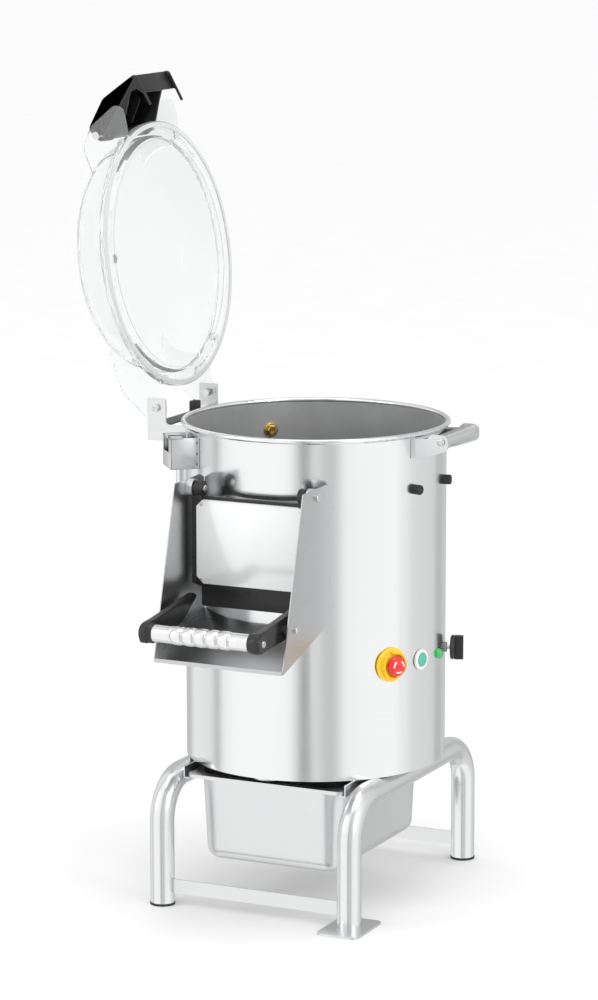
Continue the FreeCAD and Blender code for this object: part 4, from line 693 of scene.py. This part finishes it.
def small_screws():
    """Socket screws on the cheeks, the latch ears and the hinge ears."""
    cheek, latch_ear, hinge_ear = 0.1244, 0.0718, 0.1048
    pivots = ((DOOR_PIVOT_Y, DOOR_PIVOT_Z), (LEVER_PIVOT_Y, LEVER_PIVOT_Z))
    screw_heads("cheek_screws", [((side * cheek, y, z), (side, 0, 0)) for side in SIDES for y, z in pivots],
                radius=0.0062, rise=0.0020)
    screw_heads("latch_screws", [((0.268, side * latch_ear, 0.820), (0, side, 0)) for side in SIDES],
                radius=0.0062, rise=0.0022)
    screw_heads("hinge_screws", [((LID_HINGE_X, side * hinge_ear, LID_HINGE_Z), (0, side, 0))
                                 for side in SIDES], radius=0.0066, rise=0.0020)


def weld_lines():
    """Folded weld flanges of the latch bracket, the satin wall above the liner and its seams."""
    latch_side, flange_start, flange_end = 90, 17.2, 19.6
    strips = [wall_strip(latch_side - flange_end, latch_side - flange_start, 0.790, 0.823, 0.2282, 0.2294),
              wall_strip(latch_side + flange_start, latch_side + flange_end, 0.790, 0.823, 0.2282, 0.2294)]
    finish_piece("latch_weld_flanges", merged(*strips), "satin_steel", "machine")
    liner_top, seam_top, seam_width = 0.744, 0.824, 0.35
    seams = [wall_strip(angle, angle + seam_width, liner_top, seam_top, 0.2249, 0.2253, 2)
             for angle in (246, 129.5)]
    finish_piece("drum_seams", merged(*seams), "grey_plastic", "machine")
    wall = hoop(DRUM_INSIDE, 0.2258, liner_top, 0.826)
    finish_piece("drum_inner_wall", wall, "inner_wall", "machine")


lever()
grip()
door()
switch_housing()
stubs()
stop_button()
start_button()
hook()
lid_lugs()
lid_rim_painted_shade()
hinge_bed()
nozzle()
small_screws()
weld_lines()


# Stage, light and camera

def floor():
    """A wide matt white floor that the steel doesn't mirror."""
    made = bmesh.new()
    bmesh.ops.create_grid(made, x_segments=8, y_segments=8, size=60.0)
    mesh = bpy.data.meshes.new("floor")
    made.to_mesh(mesh)
    made.free()
    tree, shader = new_material("floor_white")
    grain = node(tree, "ShaderNodeGroup", node_tree=GRAIN)
    tree.links.new(mixed(tree, grain.outputs["Blotch"], (0.90, 0.90, 0.90), (0.93, 0.93, 0.93)),
                   shader.inputs["Base Color"])
    shader.inputs["Roughness"].default_value = 0.8
    mesh.materials.append(MATERIALS["floor_white"])
    piece = bpy.data.objects.new("floor", mesh)
    piece.visible_glossy = False
    bpy.context.scene.collection.objects.link(piece)


def area_light(name, at, target, size, power):
    data = bpy.data.lights.new(name, "AREA")
    data.shape = "RECTANGLE"
    data.size, data.size_y = size
    data.energy = power
    lamp = bpy.data.objects.new(name, data)
    lamp.location = at
    lamp.rotation_euler = (Vector(target) - Vector(at)).to_track_quat("-Z", "Y").to_euler()
    bpy.context.scene.collection.objects.link(lamp)


floor()
area_light("key", at=(-3.4, -3.6, 2.8), target=(0, 0, 0.7), size=(1.0, 2.0), power=22)
area_light("side", at=(3.9, -2.0, 2.2), target=(0, 0, 0.7), size=(1.2, 2.0), power=22)
area_light("top", at=(0.4, -0.6, 4.2), target=(0, 0, 0), size=(2.2, 2.2), power=28)

# Brightness of the studio's walls at angles from the front, positive toward +X
WALL_LEVELS = [
    (-180, 0.60), (-125, 0.50), (-112, 0.85), (-80, 0.80), (-72, 0.35), (-66, 0.90), (-50, 1.0), (2, 1.0),
    (8, 0.85), (12, 0.25), (19, 0.40), (25, 0.90), (31, 0.60), (41, 0.50), (50, 0.95), (100, 1.0),
    (122, 0.72), (150, 0.70), (164, 0.45), (180, 0.60),
]


def studio_world():
    """White for what is seen directly, and soft light and dark panels round the horizon in gloss."""
    world = bpy.data.worlds.new("studio")
    world.use_nodes = True
    sky = world.node_tree
    white = sky.nodes["Background"]
    white.inputs["Color"].default_value = (1, 1, 1, 1)
    white.inputs["Strength"].default_value = 1.08
    where = node(sky, "ShaderNodeSeparateXYZ", {0: node(sky, "ShaderNodeTexCoord").outputs["Generated"]})
    forward = node(sky, "ShaderNodeMath", {0: where.outputs["Y"], 1: -1.0}, operation="MULTIPLY")
    turn = node(sky, "ShaderNodeMath", {0: where.outputs["X"], 1: forward.outputs[0]},
                operation="ARCTAN2")
    share = ramp(sky, turn.outputs[0], 0.0, 1.0, start=-math.pi, end=math.pi)
    panels = node(sky, "ShaderNodeValToRGB", {"Fac": share})
    ramp_stops = panels.color_ramp.elements
    while len(ramp_stops) < len(WALL_LEVELS):
        ramp_stops.new(0.5)
    for stop, (angle, level) in zip(ramp_stops, WALL_LEVELS):
        stop.position = (angle + 180) / 360
        stop.color = (level, level, level, 1)
    room = node(sky, "ShaderNodeBackground", {"Color": panels.outputs["Color"], "Strength": 1.12})
    ray = node(sky, "ShaderNodeLightPath")
    mirrored = node(sky, "ShaderNodeMath",
                    {0: ray.outputs["Is Glossy Ray"], 1: ray.outputs["Is Transmission Ray"]},
                    operation="SUBTRACT", use_clamp=True)
    choice = node(sky, "ShaderNodeMixShader", {"Fac": mirrored.outputs[0]})
    sky.links.new(white.outputs[0], choice.inputs[1])
    sky.links.new(room.outputs[0], choice.inputs[2])
    sky.links.new(choice.outputs[0], sky.nodes["World Output"].inputs["Surface"])
    return world


bpy.context.scene.world = studio_world()
bpy.context.scene.view_settings.view_transform = "Standard"

CAMERA_PLACE = (2.746, -5.781, 1.872)
CAMERA_TURN = math.radians(25.41)
CAMERA_PITCH = math.radians(10.48)
camera_data = bpy.data.cameras.new("camera")
camera_data.sensor_width = 36
camera_data.lens = 134.03
camera_data.shift_x = -0.0167
camera_data.clip_end = 100
camera = bpy.data.objects.new("camera", camera_data)
camera.location = CAMERA_PLACE
camera.rotation_euler = (math.pi / 2 - CAMERA_PITCH, 0, CAMERA_TURN)
bpy.context.scene.collection.objects.link(camera)
bpy.context.scene.camera = camera
